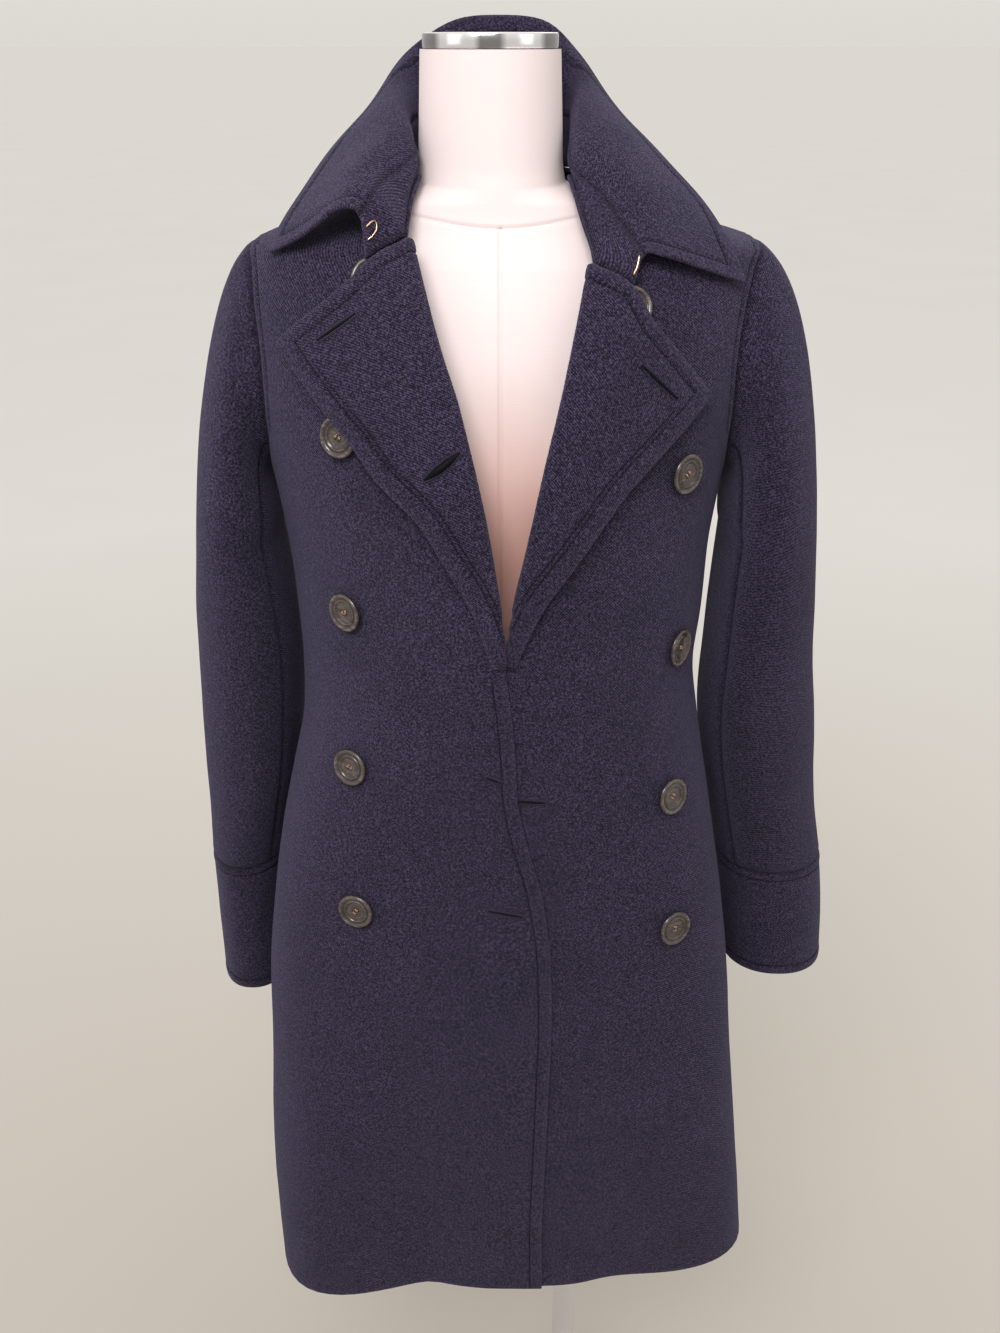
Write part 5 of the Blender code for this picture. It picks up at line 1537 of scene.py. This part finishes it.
def front_hit(trees, x, z):
    """Nearest cloth seen from straight ahead at a place: its point and normal."""
    start = Vector((x, AHEAD_Y, z))
    hits = [tree.ray_cast(start, Vector((0, 1, 0))) for tree in trees]
    hits = [hit for hit in hits if hit[0] is not None]
    if not hits:
        raise RuntimeError(f"no cloth at {x:.3f}, {z:.3f}")
    point, normal, _, _ = min(hits, key=lambda hit: hit[3])
    return point, normal if normal.y < 0 else -normal


def cloth_trees(names):
    """Search trees of finished cloth pieces."""
    trees = []
    for name in names:
        mesh = bpy.data.objects[f"{name}_cloth"].data
        trees.append(BVHTree.FromPolygons([vert.co for vert in mesh.vertices],
                                          [face.vertices for face in mesh.polygons]))
    return trees


def colour_setting(label, text, default):
    """Setting that holds a colour."""
    return FloatVectorProperty(name=label, description=text, default=default, subtype="COLOR")


def size_setting(label, text, default):
    """Setting that holds a size or place in metres."""
    return FloatProperty(name=label, description=text, default=default, subtype="DISTANCE")


def share_setting(label, text, default):
    """Setting that holds a share from 0 to 1."""
    return FloatProperty(name=label, description=text, default=default, min=0, max=1)


def amount_setting(label, text, default):
    """Setting that holds a number above 0."""
    return FloatProperty(name=label, description=text, default=default, min=0)


class ClothSettings(bpy.types.PropertyGroup):
    """Wool, its relief and its sewing."""

    wool_dark: colour_setting("Wool, dark", "Shade between the threads", (0.0034, 0.0028, 0.0064))
    wool_middle: colour_setting("Wool, middle", "Shade of most of the cloth",
                                (0.0138, 0.0110, 0.0262))
    wool_light: colour_setting("Wool, light", "Shade of the fibres on top", (0.0585, 0.0478, 0.0890))
    fuzz_colour: colour_setting("Fuzz colour", "Tint of the fuzz seen at a slant", (0.55, 0.52, 0.85))
    fuzz: share_setting("Fuzz", "Weight of the fuzz", 0.14)
    wear: share_setting("Wear", "Paleness of worn edges", 0.20)
    worn_width: size_setting("Worn width", "How far the wear reaches in from an edge", 0.004)
    twill_pitch: size_setting("Twill pitch", "Width of one twill line", 0.0017)
    tuft_scale: amount_setting("Tufts", "Tufts of fibre in a metre", 620.0)
    weave_relief: share_setting("Weave relief", "Strength of the weave's bump", 0.80)
    # Painted shadow in the grooves of seams and stitching
    painted_groove_shadow: share_setting("Press shade", "Darkness of cloth pressed down by stitches and seams",
                               0.52)
    drape: size_setting("Drape", "Height of the cloth's soft unevenness", 0.0009)
    pillow: size_setting("Edge pillow", "Rise between an edge and its stitching", 0.0004)
    seam_dip: size_setting("Seam dip", "Depth of a pressed seam", 0.0011)
    seam_width: size_setting("Seam width", "Half width of a pressed seam", 0.0022)
    groove_depth: size_setting("Groove depth", "Depth of a stitched groove", 0.0012)
    groove_width: size_setting("Groove width", "Half width of a stitched groove", 0.0010)
    stitch_length: size_setting("Stitch length", "Length of one stitch", 0.0030)
    stitch_gap: size_setting("Stitch gap", "Cloth between two stitches", 0.0008)
    thread_width: size_setting("Thread width", "Width of the sewing thread", 0.0008)
    thread_dark: colour_setting("Thread, dark", "Shade of the sewing thread", (0.002, 0.0015, 0.003))
    thread_light: colour_setting("Thread, light", "Lit shade of the sewing thread",
                                 (0.009, 0.007, 0.013))


class ButtonSettings(bpy.types.PropertyGroup):
    """Buttons, their thread, and the hook and eye."""

    horn_dark: colour_setting("Horn, dark", "Darkest streaks of the horn", (0.016, 0.0105, 0.0095))
    horn_middle: colour_setting("Horn, middle", "Shade of most of the horn", (0.046, 0.033, 0.030))
    horn_light: colour_setting("Horn, light", "Palest streaks of the horn", (0.112, 0.086, 0.078))
    hole_radius: size_setting("Hole radius", "Radius of a button's holes", 0.0011)
    thread_width: size_setting("Button thread", "Width of the thread on a button", 0.0008)
    thread_dark: colour_setting("Button thread, dark", "Shade of the thread on a button",
                                (0.10, 0.055, 0.038))
    thread_light: colour_setting("Button thread, light", "Lit shade of the thread on a button",
                                 (0.42, 0.27, 0.20))
    brass: colour_setting("Brass", "Colour of the hook and eye", (0.72, 0.47, 0.33))


class FormSettings(bpy.types.PropertyGroup):
    """Dress form and its stand."""

    jersey_light: colour_setting("Jersey, light", "Shade of most of the form's cover",
                                 (0.66, 0.575, 0.58))
    jersey_shade: colour_setting("Jersey, shade", "Shade between the cover's knots",
                                 (0.605, 0.52, 0.52))
    jersey_warm: colour_setting("Jersey, warmth", "Tint of the cover low on the chest",
                                (0.98, 0.62, 0.52))
    warm_top_z: size_setting("Warmth starts", "Height where the cover begins to turn warmer", 1.30)
    warm_low_z: size_setting("Warmth ends", "Height where the cover is warmest", 1.11)
    knit_pitch: size_setting("Knit pitch", "Height of one row of knitting", 0.0011)
    seam_depth: size_setting("Seam depth", "Depth of the form's seams", 0.0016)
    seam_width: size_setting("Seam width", "Half width of the form's seams", 0.0013)
    steel: colour_setting("Steel", "Colour of the stand and neck cap", (0.80, 0.80, 0.82))
    steel_roughness: share_setting("Steel roughness", "How dull the steel is", 0.16)


class StageSettings(bpy.types.PropertyGroup):
    """Floor, lights and camera."""

    floor_colour: colour_setting("Floor", "Colour of the floor", (0.66, 0.655, 0.645))
    # Painted shade round the stand
    floor_painted_shade: colour_setting("Floor, near", "Colour of the floor round the stand",
                               (0.42, 0.39, 0.355))
    pale_reach: size_setting("Pale reach", "Distance at which the floor is palest", 3.5)
    air_colour: colour_setting("Surrounding light", "Colour of the light from all round",
                               (1.0, 0.965, 0.905))
    air_strength: amount_setting("Light at the horizon", "Strength of the light from the horizon",
                                 0.72)
    overhead_strength: amount_setting("Light overhead", "Strength of the light from overhead", 1.28)
    key_power: amount_setting("Key light", "Power of the light above the front", 9.0)
    fill_power: amount_setting("Fill light", "Power of each light at the sides and behind", 3.0)
    eye: FloatVectorProperty(name="Camera", description="Place of the camera",
                             default=(0.0, -1.10, 1.492), subtype="TRANSLATION")
    eye_down: FloatProperty(name="Camera pitch", description="How far the camera looks down",
                            default=math.radians(24.6), subtype="ANGLE")
    lens: amount_setting("Lens", "Focal length in millimetres for a 36 mm long side", 36.92)


class COAT_OT_body(bpy.types.Operator):
    """Fronts and backs, with their pressed seams and stitch grooves"""

    bl_idname = "coat.body"
    bl_label = "Fronts and backs"

    def execute(self, context):
        for side, word in SIDES.items():
            grid, normals, flat = body_panel(side, "front")
            front = make_cloth(f"front_{word}", grid, normals, BODY_WALL, ("start", "first"),
                               ("last",), flat)
            grid, normals, flat = body_panel(side, "back")
            back = make_cloth(f"back_{word}", grid, normals, BODY_WALL, ("start",),
                              ("first", "last"), flat)
        return {"FINISHED"}


class COAT_OT_half_belt(bpy.types.Operator):
    """Half belt across the back of the waist"""

    bl_idname = "coat.half_belt"
    bl_label = "Half belt"

    def execute(self, context):
        rise = SEAM_GAP + BODY_WALL
        coarse = np.linspace(SIDE_ANGLE, 360 - SIDE_ANGLE, BELT_COLUMNS)
        grid, normals = [], []
        for z in np.linspace(WAIST_LOW_Z, WAIST_HIGH_Z, BELT_ROWS):
            normals.append([body_normal(-angle, z) for angle in coarse])
            grid.append([body_point(-angle, z) + normal * rise
                         for angle, normal in zip(coarse, normals[-1])])
        grid, normals = np.array(grid), np.array(normals)
        belt = make_cloth("half_belt", grid, normals, BODY_WALL, ("start", "end"),
                          ("first", "last"), flat_from_lengths(grid))
        return {"FINISHED"}


class COAT_OT_lapels(bpy.types.Operator):
    """Lapels rolled open from the break up to the collar"""

    bl_idname = "coat.lapels"
    bl_label = "Lapels"

    def execute(self, context):
        steps = [k / LAPEL_ROWS for k in range(LAPEL_ROWS) if k / LAPEL_ROWS < LAPEL_FINE_FROM]
        steps += [1 - LAPEL_FINE_STEP * k for k in range(LAPEL_FINE_ROWS, -1, -1)]
        for side, word in SIDES.items():
            rows = [lapel_row(side, v) for v in steps]
            grid = np.array([row for row, _ in rows])
            normals = unit_normals(grid, away_from_axis(grid))
            for line, (_, facing) in zip(normals, rows):
                line[:FOLD_STEPS] = facing
            lapel = make_cloth(f"lapel_{word}", grid, normals, LAPEL_WALL, ("last", "end"),
                               ("first",), flat_from_lengths(grid, side))
        return {"FINISHED"}


class COAT_OT_collar(bpy.types.Operator):
    """Collar stand and fall, standing up at the back and open to its points"""

    bl_idname = "coat.collar"
    bl_label = "Collar"

    def execute(self, context):
        whole = collar_rows(STAND_STEPS + FALL_STEPS)
        normals = unit_normals(whole, np.array(COLLAR_INSIDE) - away_from_axis(whole))
        count = len(STAND_STEPS)
        flat = flat_from_lengths(whole)
        for name, part, edges, seams, size, area in (
                ("collar_stand", slice(0, count), ("first", "last"), ("start", "end"),
                 (0.44, 0.036), 0.0158),
                ("collar_fall", slice(count - 1, None), ("end", "first", "last"), ("start",),
                 (0.56, 0.085), 0.0421)):
            piece = make_cloth(name, whole[part], normals[part], COLLAR_WALL, edges, seams,
                               flat[part])
        return {"FINISHED"}


class COAT_OT_sleeves(bpy.types.Operator):
    """Two-piece sleeves with their cuff bands"""

    bl_idname = "coat.sleeves"
    bl_label = "Sleeves"

    def execute(self, context):
        seam = ARMHOLE_STEPS // 4
        for side, word in SIDES.items():
            grid, normals = sleeve_grid(side)
            count = grid.shape[1]
            top = list(range(seam, count - seam + 1))
            under = list(range(count - seam, count)) + list(range(seam + 1))
            normals[-1, :, 2] = 0
            normals[-1] /= np.linalg.norm(normals[-1], axis=1, keepdims=True)
            flat = flat_from_lengths(grid, side)
            top_area = 0.125 if side < 0 else 0.134
            for name, chosen, size, area in (("sleeve_top", top, (0.27, 0.61), top_area),
                                             ("sleeve_under", under, (0.13, 0.42), 0.0398)):
                piece = make_cloth(f"{name}_{word}", grid[:, chosen], normals[:, chosen],
                                   BODY_WALL, (), ("start", "end", "first", "last"),
                                   flat[:, chosen])
            hem = SLEEVES[side][0].z
            near = [EDGE_STEP * k for k in range(CUFF_FINE_ROWS)]
            levels = [CUFF_SEAM_Z - step for step in near]
            levels += list(np.linspace(levels[-1], hem + near[-1], CUFF_COARSE_ROWS)[1:-1])
            levels += [hem + step for step in reversed(near)]
            cuff = np.array([sleeve_ring(side, float(z), count) for z in levels])
            toward = np.array([[away_from_sleeve(side)(Vector(point)) for point in line]
                               for line in cuff])
            lines = unit_normals(cuff, toward, closed=True)
            lines[0] = normals[-1]
            piece = make_cloth(f"cuff_{word}", cuff, lines, BODY_WALL, ("end",), ("start",),
                               flat_from_lengths(cuff, side), closed=True)
        return {"FINISHED"}


class COAT_OT_topstitching(bpy.types.Operator):
    """Stitches sunk in the grooves along edges, armholes and cuffs"""

    bl_idname = "coat.topstitching"
    bl_label = "Topstitching"

    def execute(self, context):
        if not sewing:
            raise RuntimeError("the cloth comes before its topstitching")
        cloth = context.scene.coat_cloth
        material = thread_material("sewing_thread", cloth.thread_dark, cloth.thread_light,
                                   THREAD_TWIST)
        groups = {}
        for name, lines in sewing.items():
            groups.setdefault(name.split("_")[0], []).extend(lines)
        for group, lines in groups.items():
            verts, faces = [], []
            for line in lines:
                add_stitches(verts, faces, line)
            if verts:
                show(f"stitching_{group}", solid_mesh(f"stitching_{group}", verts, faces),
                     material, "navy_wool")
        return {"FINISHED"}


def add_buttonhole(trees, row, stitches, slit_shadows):
    """Slit between two rows of close stitches, with a bar at each end and a near-black tube in it as
    painted shadow.
    """
    start, end = Vector((row.x0, 0, row.z0)), Vector((row.x1, 0, row.z1))
    along, length = (end - start).normalized(), (end - start).length
    across = Vector((-along.z, 0, along.x))
    radius = HOLE_THREAD_RADIUS

    def spot(distance, aside, rise):
        place = start + along * distance + across * aside
        point, normal = front_hit(trees, place.x, place.z)
        return point + normal * rise

    def opening(distance):
        return row.opening * math.sin(math.pi * min(distance / length, 1))

    for side in (-1, 1):
        for number in range(int(length / HOLE_PITCH) + 1):
            distance = number * HOLE_PITCH
            inner = side * (HOLE_LIP + opening(distance))
            tube = [spot(distance, inner + side * HOLE_WIDTH * share, radius * rise)
                    for share, rise in HOLE_ARCH]
            add_tube(*stitches, tube, [radius] * len(tube), STITCH_SIDES)
    for distance in (-BAR_BEFORE, length + BAR_BEYOND):
        for step in range(-1, 2):
            tube = [spot(distance + step * radius, aside, radius * rise)
                    for aside, rise in HOLE_BAR]
            add_tube(*stitches, tube, [radius] * len(tube), STITCH_SIDES)
    # Painted shadow: a near-black tube along the slit
    route = [length * step / SLIT_STEPS for step in range(SLIT_STEPS + 1)]
    middle = [spot(distance, 0, SLIT_RISE) for distance in route]
    radii = [HOLE_LIP * SLIT_SHARE + opening(distance) for distance in route]
    add_tube(*slit_shadows, middle, radii, SLIT_SIDES)


class COAT_OT_buttonholes(bpy.types.Operator):
    """Worked buttonholes on the lapels and fronts"""

    bl_idname = "coat.buttonholes"
    bl_label = "Buttonholes"

    def execute(self, context):
        cloth = context.scene.coat_cloth
        trees = cloth_trees(("front_left", "front_right", "lapel_left", "lapel_right"))
        stitches, slit_shadows = ([], []), ([], [])
        for row in BUTTONHOLES:
            add_buttonhole(trees, row, stitches, slit_shadows)
        thread = thread_material("buttonhole_thread", tint(cloth.wool_middle, 0.5),
                                 tint(cloth.wool_light, 0.8), THREAD_TWIST)
        # Near-black thread in the slit: painted shadow of its opening
        dark = thread_material("buttonhole_slit", (0.0004, 0.0004, 0.0006), (0.0015, 0.0013, 0.002),
                               SLIT_TWIST)
        for name, parts, material in (("buttonhole_stitches", stitches, thread),
                                      ("buttonhole_slits", slit_shadows, dark)):
            show(name, solid_mesh(name, *parts), material, "navy_wool")
        return {"FINISHED"}


class COAT_OT_buttons(bpy.types.Operator):
    """Four-hole buttons on thread shanks"""

    bl_idname = "coat.buttons"
    bl_label = "Buttons"

    def execute(self, context):
        buttons = context.scene.coat_buttons
        blank = cut_holes(turned_mesh("button_turned", smooth_route(BUTTON_TURN, 3),
                                      BUTTON_SIDES))
        away = blank.attributes.new("from_axis", "FLOAT", "POINT")
        away.data.foreach_set("value", [vert.co.xy.length for vert in blank.vertices])
        thread = thread_material("button_thread", buttons.thread_dark, buttons.thread_light,
                                 BUTTON_THREAD_TWIST)
        horn = horn_material()
        for node in BUTTON_TURNS:
            place = button_place(node)
            mesh = blank.copy()
            mesh.transform(place)
            show(f"{node}_horn", mesh, horn, "button_horn", node)
            verts, faces = [], []
            button_threads(verts, faces)
            mesh = solid_mesh(f"{node}_thread", [place @ vert for vert in verts], faces)
            show(f"{node}_thread", mesh, thread, "button_horn")
        return {"FINISHED"}


class COAT_OT_hook_and_eye(bpy.types.Operator):
    """Wire hook and eye on the front ends of the collar stand"""

    bl_idname = "coat.hook_and_eye"
    bl_label = "Hook and eye"

    def execute(self, context):
        # The brass has painted reflection bands over all its height
        brass = metal_material("worn_brass", context.scene.coat_buttons.brass, roughness=0.25,
                               scratch_scale=900.0, scratch=0.1, band_width=0.010,
                               painted_reflection_shade=0.5, band_top_z=NECK_Z + 1)
        tree = cloth_trees(("collar_stand",))[0]
        for name, s, route in (("collar_eye", -1.0, EYE_ROUTE), ("collar_hook", 1.0, HOOK_ROUTE)):
            end, inner = collar_line(s), collar_line(s * 0.9)
            middle = end[0].lerp(end[1], 0.5)
            along = (inner[0].lerp(inner[1], 0.5) - middle).normalized()
            up = (end[1] - end[0]).normalized()
            out = up.cross(along)
            if out.y > 0:
                out = -out
            points = []
            for across, rise in smooth_route(route, 6):
                spot, normal, _, _ = tree.ray_cast(middle + along * across + up * rise
                                                   + out * WIRE_LOOK, -out)
                points.append(spot + (normal + out).normalized() * WIRE_RADIUS * WIRE_SEAT)
            verts, faces = [], []
            add_tube(verts, faces, points, [WIRE_RADIUS] * len(points), WIRE_SIDES)
            show(f"{name}_wire", solid_mesh(name, verts, faces), brass, "brass_wire", name)
        return {"FINISHED"}


class COAT_OT_form(bpy.types.Operator):
    """Limbless dress form under the coat"""

    bl_idname = "coat.form"
    bl_label = "Dress form"

    def execute(self, context):
        show("form_torso_jersey", form_mesh(), jersey_material(), "form_jersey", "form_torso")
        return {"FINISHED"}


class COAT_OT_stand(bpy.types.Operator):
    """Base plate, pole and neck cap of the form"""

    bl_idname = "coat.stand"
    bl_label = "Stand"

    def execute(self, context):
        form = context.scene.coat_form
        cap_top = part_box("neck_cap")[1][2] - 0.0004
        # The neck cap's steel has painted reflection bands up to its top; the plain steel's bands end
        # at the floor, so it has none
        steel, banded = (
            metal_material(name, form.steel, form.steel_roughness, scratch_scale=260.0,
                           scratch=0.06, band_width=0.048, painted_reflection_shade=0.32, band_top_z=top)
            for name, top in (("plain_steel", 0.0), ("banded_steel", cap_top)))
        low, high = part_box("stand_base")
        plate, socket, cap = (high[0] - low[0]) / 2, SOCKET_RADIUS, CAP_RADIUS
        profiles = {
            "stand_base": [(0, 0), (plate - 0.003, 0), (plate - 0.001, 0.0008), (plate, 0.003),
                           (plate, 0.007), (plate - 0.001, 0.0092), (plate - 0.003, 0.010),
                           (socket + 0.006, 0.0115), (socket + 0.002, 0.0135),
                           (socket, 0.0175), (socket, 0.031), (socket - 0.001, 0.0332),
                           (socket - 0.003, SOCKET_TOP_Z), (0, SOCKET_TOP_Z)],
            "stand_pole": [(0, POLE_LOW_Z), (POLE_RADIUS, POLE_LOW_Z), (POLE_RADIUS, POLE_HIGH_Z),
                           (0, POLE_HIGH_Z)],
            "neck_cap": [(0, 0), (cap - 0.0012, 0), (cap - 0.0004, 0.0004), (cap, 0.0013),
                         (cap, CAP_HEIGHT - 0.0013), (cap - 0.0004, CAP_HEIGHT - 0.0004),
                         (cap - 0.0012, CAP_HEIGHT), (0, CAP_HEIGHT)],
        }
        for node, profile in profiles.items():
            low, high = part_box(node)
            mesh = turned_mesh(f"{node}_steel", profile, STEEL_SIDES)
            foot = low[2] - min(height for _, height in profile)
            mesh.transform(Matrix.Translation(((low[0] + high[0]) / 2, (low[1] + high[1]) / 2,
                                               foot)))
            mesh.set_sharp_from_angle(angle=STEEL_SHARP_TURN)
            show(f"{node}_steel", mesh, banded if node == "neck_cap" else steel,
                 "polished_steel", node)
        return {"FINISHED"}


def area_light(row, power):
    """Soft rectangular light that shines within a spread angle."""
    lamp = bpy.data.lights.new(row.name, "AREA")
    lamp.shape = "RECTANGLE"
    lamp.size, lamp.size_y = row.size
    lamp.energy = power
    lamp.color = row.colour
    lamp.spread = math.radians(row.spread)
    thing = bpy.data.objects.new(row.name, lamp)
    thing.location = row.place
    thing.rotation_euler = (Vector(row.aim) - Vector(row.place)).to_track_quat("-Z", "Y").to_euler()
    bpy.context.collection.objects.link(thing)


def studio_air():
    """World that shines softly from all round, and more from overhead."""
    stage = bpy.context.scene.coat_stage
    world = bpy.data.worlds.new("studio")
    world.use_nodes = True
    nodes, links = world.node_tree.nodes, world.node_tree.links
    air = nodes["Background"]
    air.inputs["Color"].default_value = (*stage.air_colour, 1.0)
    place, parts, rise = (nodes.new(f"ShaderNode{kind}")
                          for kind in ("TexCoord", "SeparateXYZ", "MapRange"))
    rise.inputs["To Min"].default_value = stage.air_strength
    rise.inputs["To Max"].default_value = stage.overhead_strength
    links.new(place.outputs["Generated"], parts.inputs[0])
    links.new(parts.outputs["Z"], rise.inputs["Value"])
    links.new(rise.outputs[0], air.inputs["Strength"])
    return world


class COAT_OT_stage(bpy.types.Operator):
    """Pale floor, soft lights and the camera"""

    bl_idname = "coat.stage"
    bl_label = "Stage"

    def execute(self, context):
        stage = context.scene.coat_stage
        profile = [(0, FLOOR_LOW_Z), (FLOOR_RADIUS, FLOOR_LOW_Z), (FLOOR_RADIUS, FLOOR_TOP_Z),
                   (0, FLOOR_TOP_Z)]
        mesh = turned_mesh("floor", profile, FLOOR_SIDES)
        mesh.shade_flat()
        mesh.materials.append(floor_material())
        floor = bpy.data.objects.new("floor", mesh)
        context.collection.objects.link(floor)
        context.scene.world = studio_air()
        context.scene.view_settings.view_transform = "Standard"
        for row in LIGHTS:
            area_light(row, getattr(stage, row.power))
        lens = bpy.data.cameras.new("camera")
        lens.sensor_width = 36.0
        lens.lens = stage.lens
        camera = bpy.data.objects.new("camera", lens)
        camera.location = stage.eye
        camera.rotation_euler = Euler((math.pi / 2 - stage.eye_down, 0, 0))
        context.collection.objects.link(camera)
        context.scene.camera = camera
        return {"FINISHED"}


OPERATORS = (
    COAT_OT_stage, COAT_OT_stand, COAT_OT_form, COAT_OT_body, COAT_OT_half_belt, COAT_OT_lapels,
    COAT_OT_collar, COAT_OT_sleeves, COAT_OT_topstitching, COAT_OT_buttonholes, COAT_OT_buttons,
    COAT_OT_hook_and_eye,
)
SETTINGS = {
    "coat_cloth": ClothSettings,
    "coat_buttons": ButtonSettings,
    "coat_form": FormSettings,
    "coat_stage": StageSettings,
}


class COAT_PT_panel(bpy.types.Panel):
    """Settings and steps of the coat, in the order they run"""

    bl_idname = "COAT_PT_panel"
    bl_label = "Wool coat"
    bl_space_type = "VIEW_3D"
    bl_region_type = "UI"
    bl_category = "Coat"

    def draw(self, context):
        for group, kind in SETTINGS.items():
            box = self.layout.box()
            for name in kind.__annotations__:
                box.prop(getattr(context.scene, group), name)
        for operator in OPERATORS:
            self.layout.operator(operator.bl_idname)


def register():
    """Register the settings, the steps and the panel."""
    for name, kind in SETTINGS.items():
        bpy.utils.register_class(kind)
        setattr(bpy.types.Scene, name, PointerProperty(type=kind))
    for kind in (*OPERATORS, COAT_PT_panel):
        bpy.utils.register_class(kind)


def unregister():
    """Remove what register added."""
    for kind in reversed((*OPERATORS, COAT_PT_panel)):
        bpy.utils.unregister_class(kind)
    for name, kind in SETTINGS.items():
        delattr(bpy.types.Scene, name)
        bpy.utils.unregister_class(kind)


def main():
    """Run every step in order."""
    register()
    for operator in OPERATORS:
        group, name = operator.bl_idname.split(".")
        getattr(getattr(bpy.ops, group), name)()


if __name__ == "__main__":
    main()
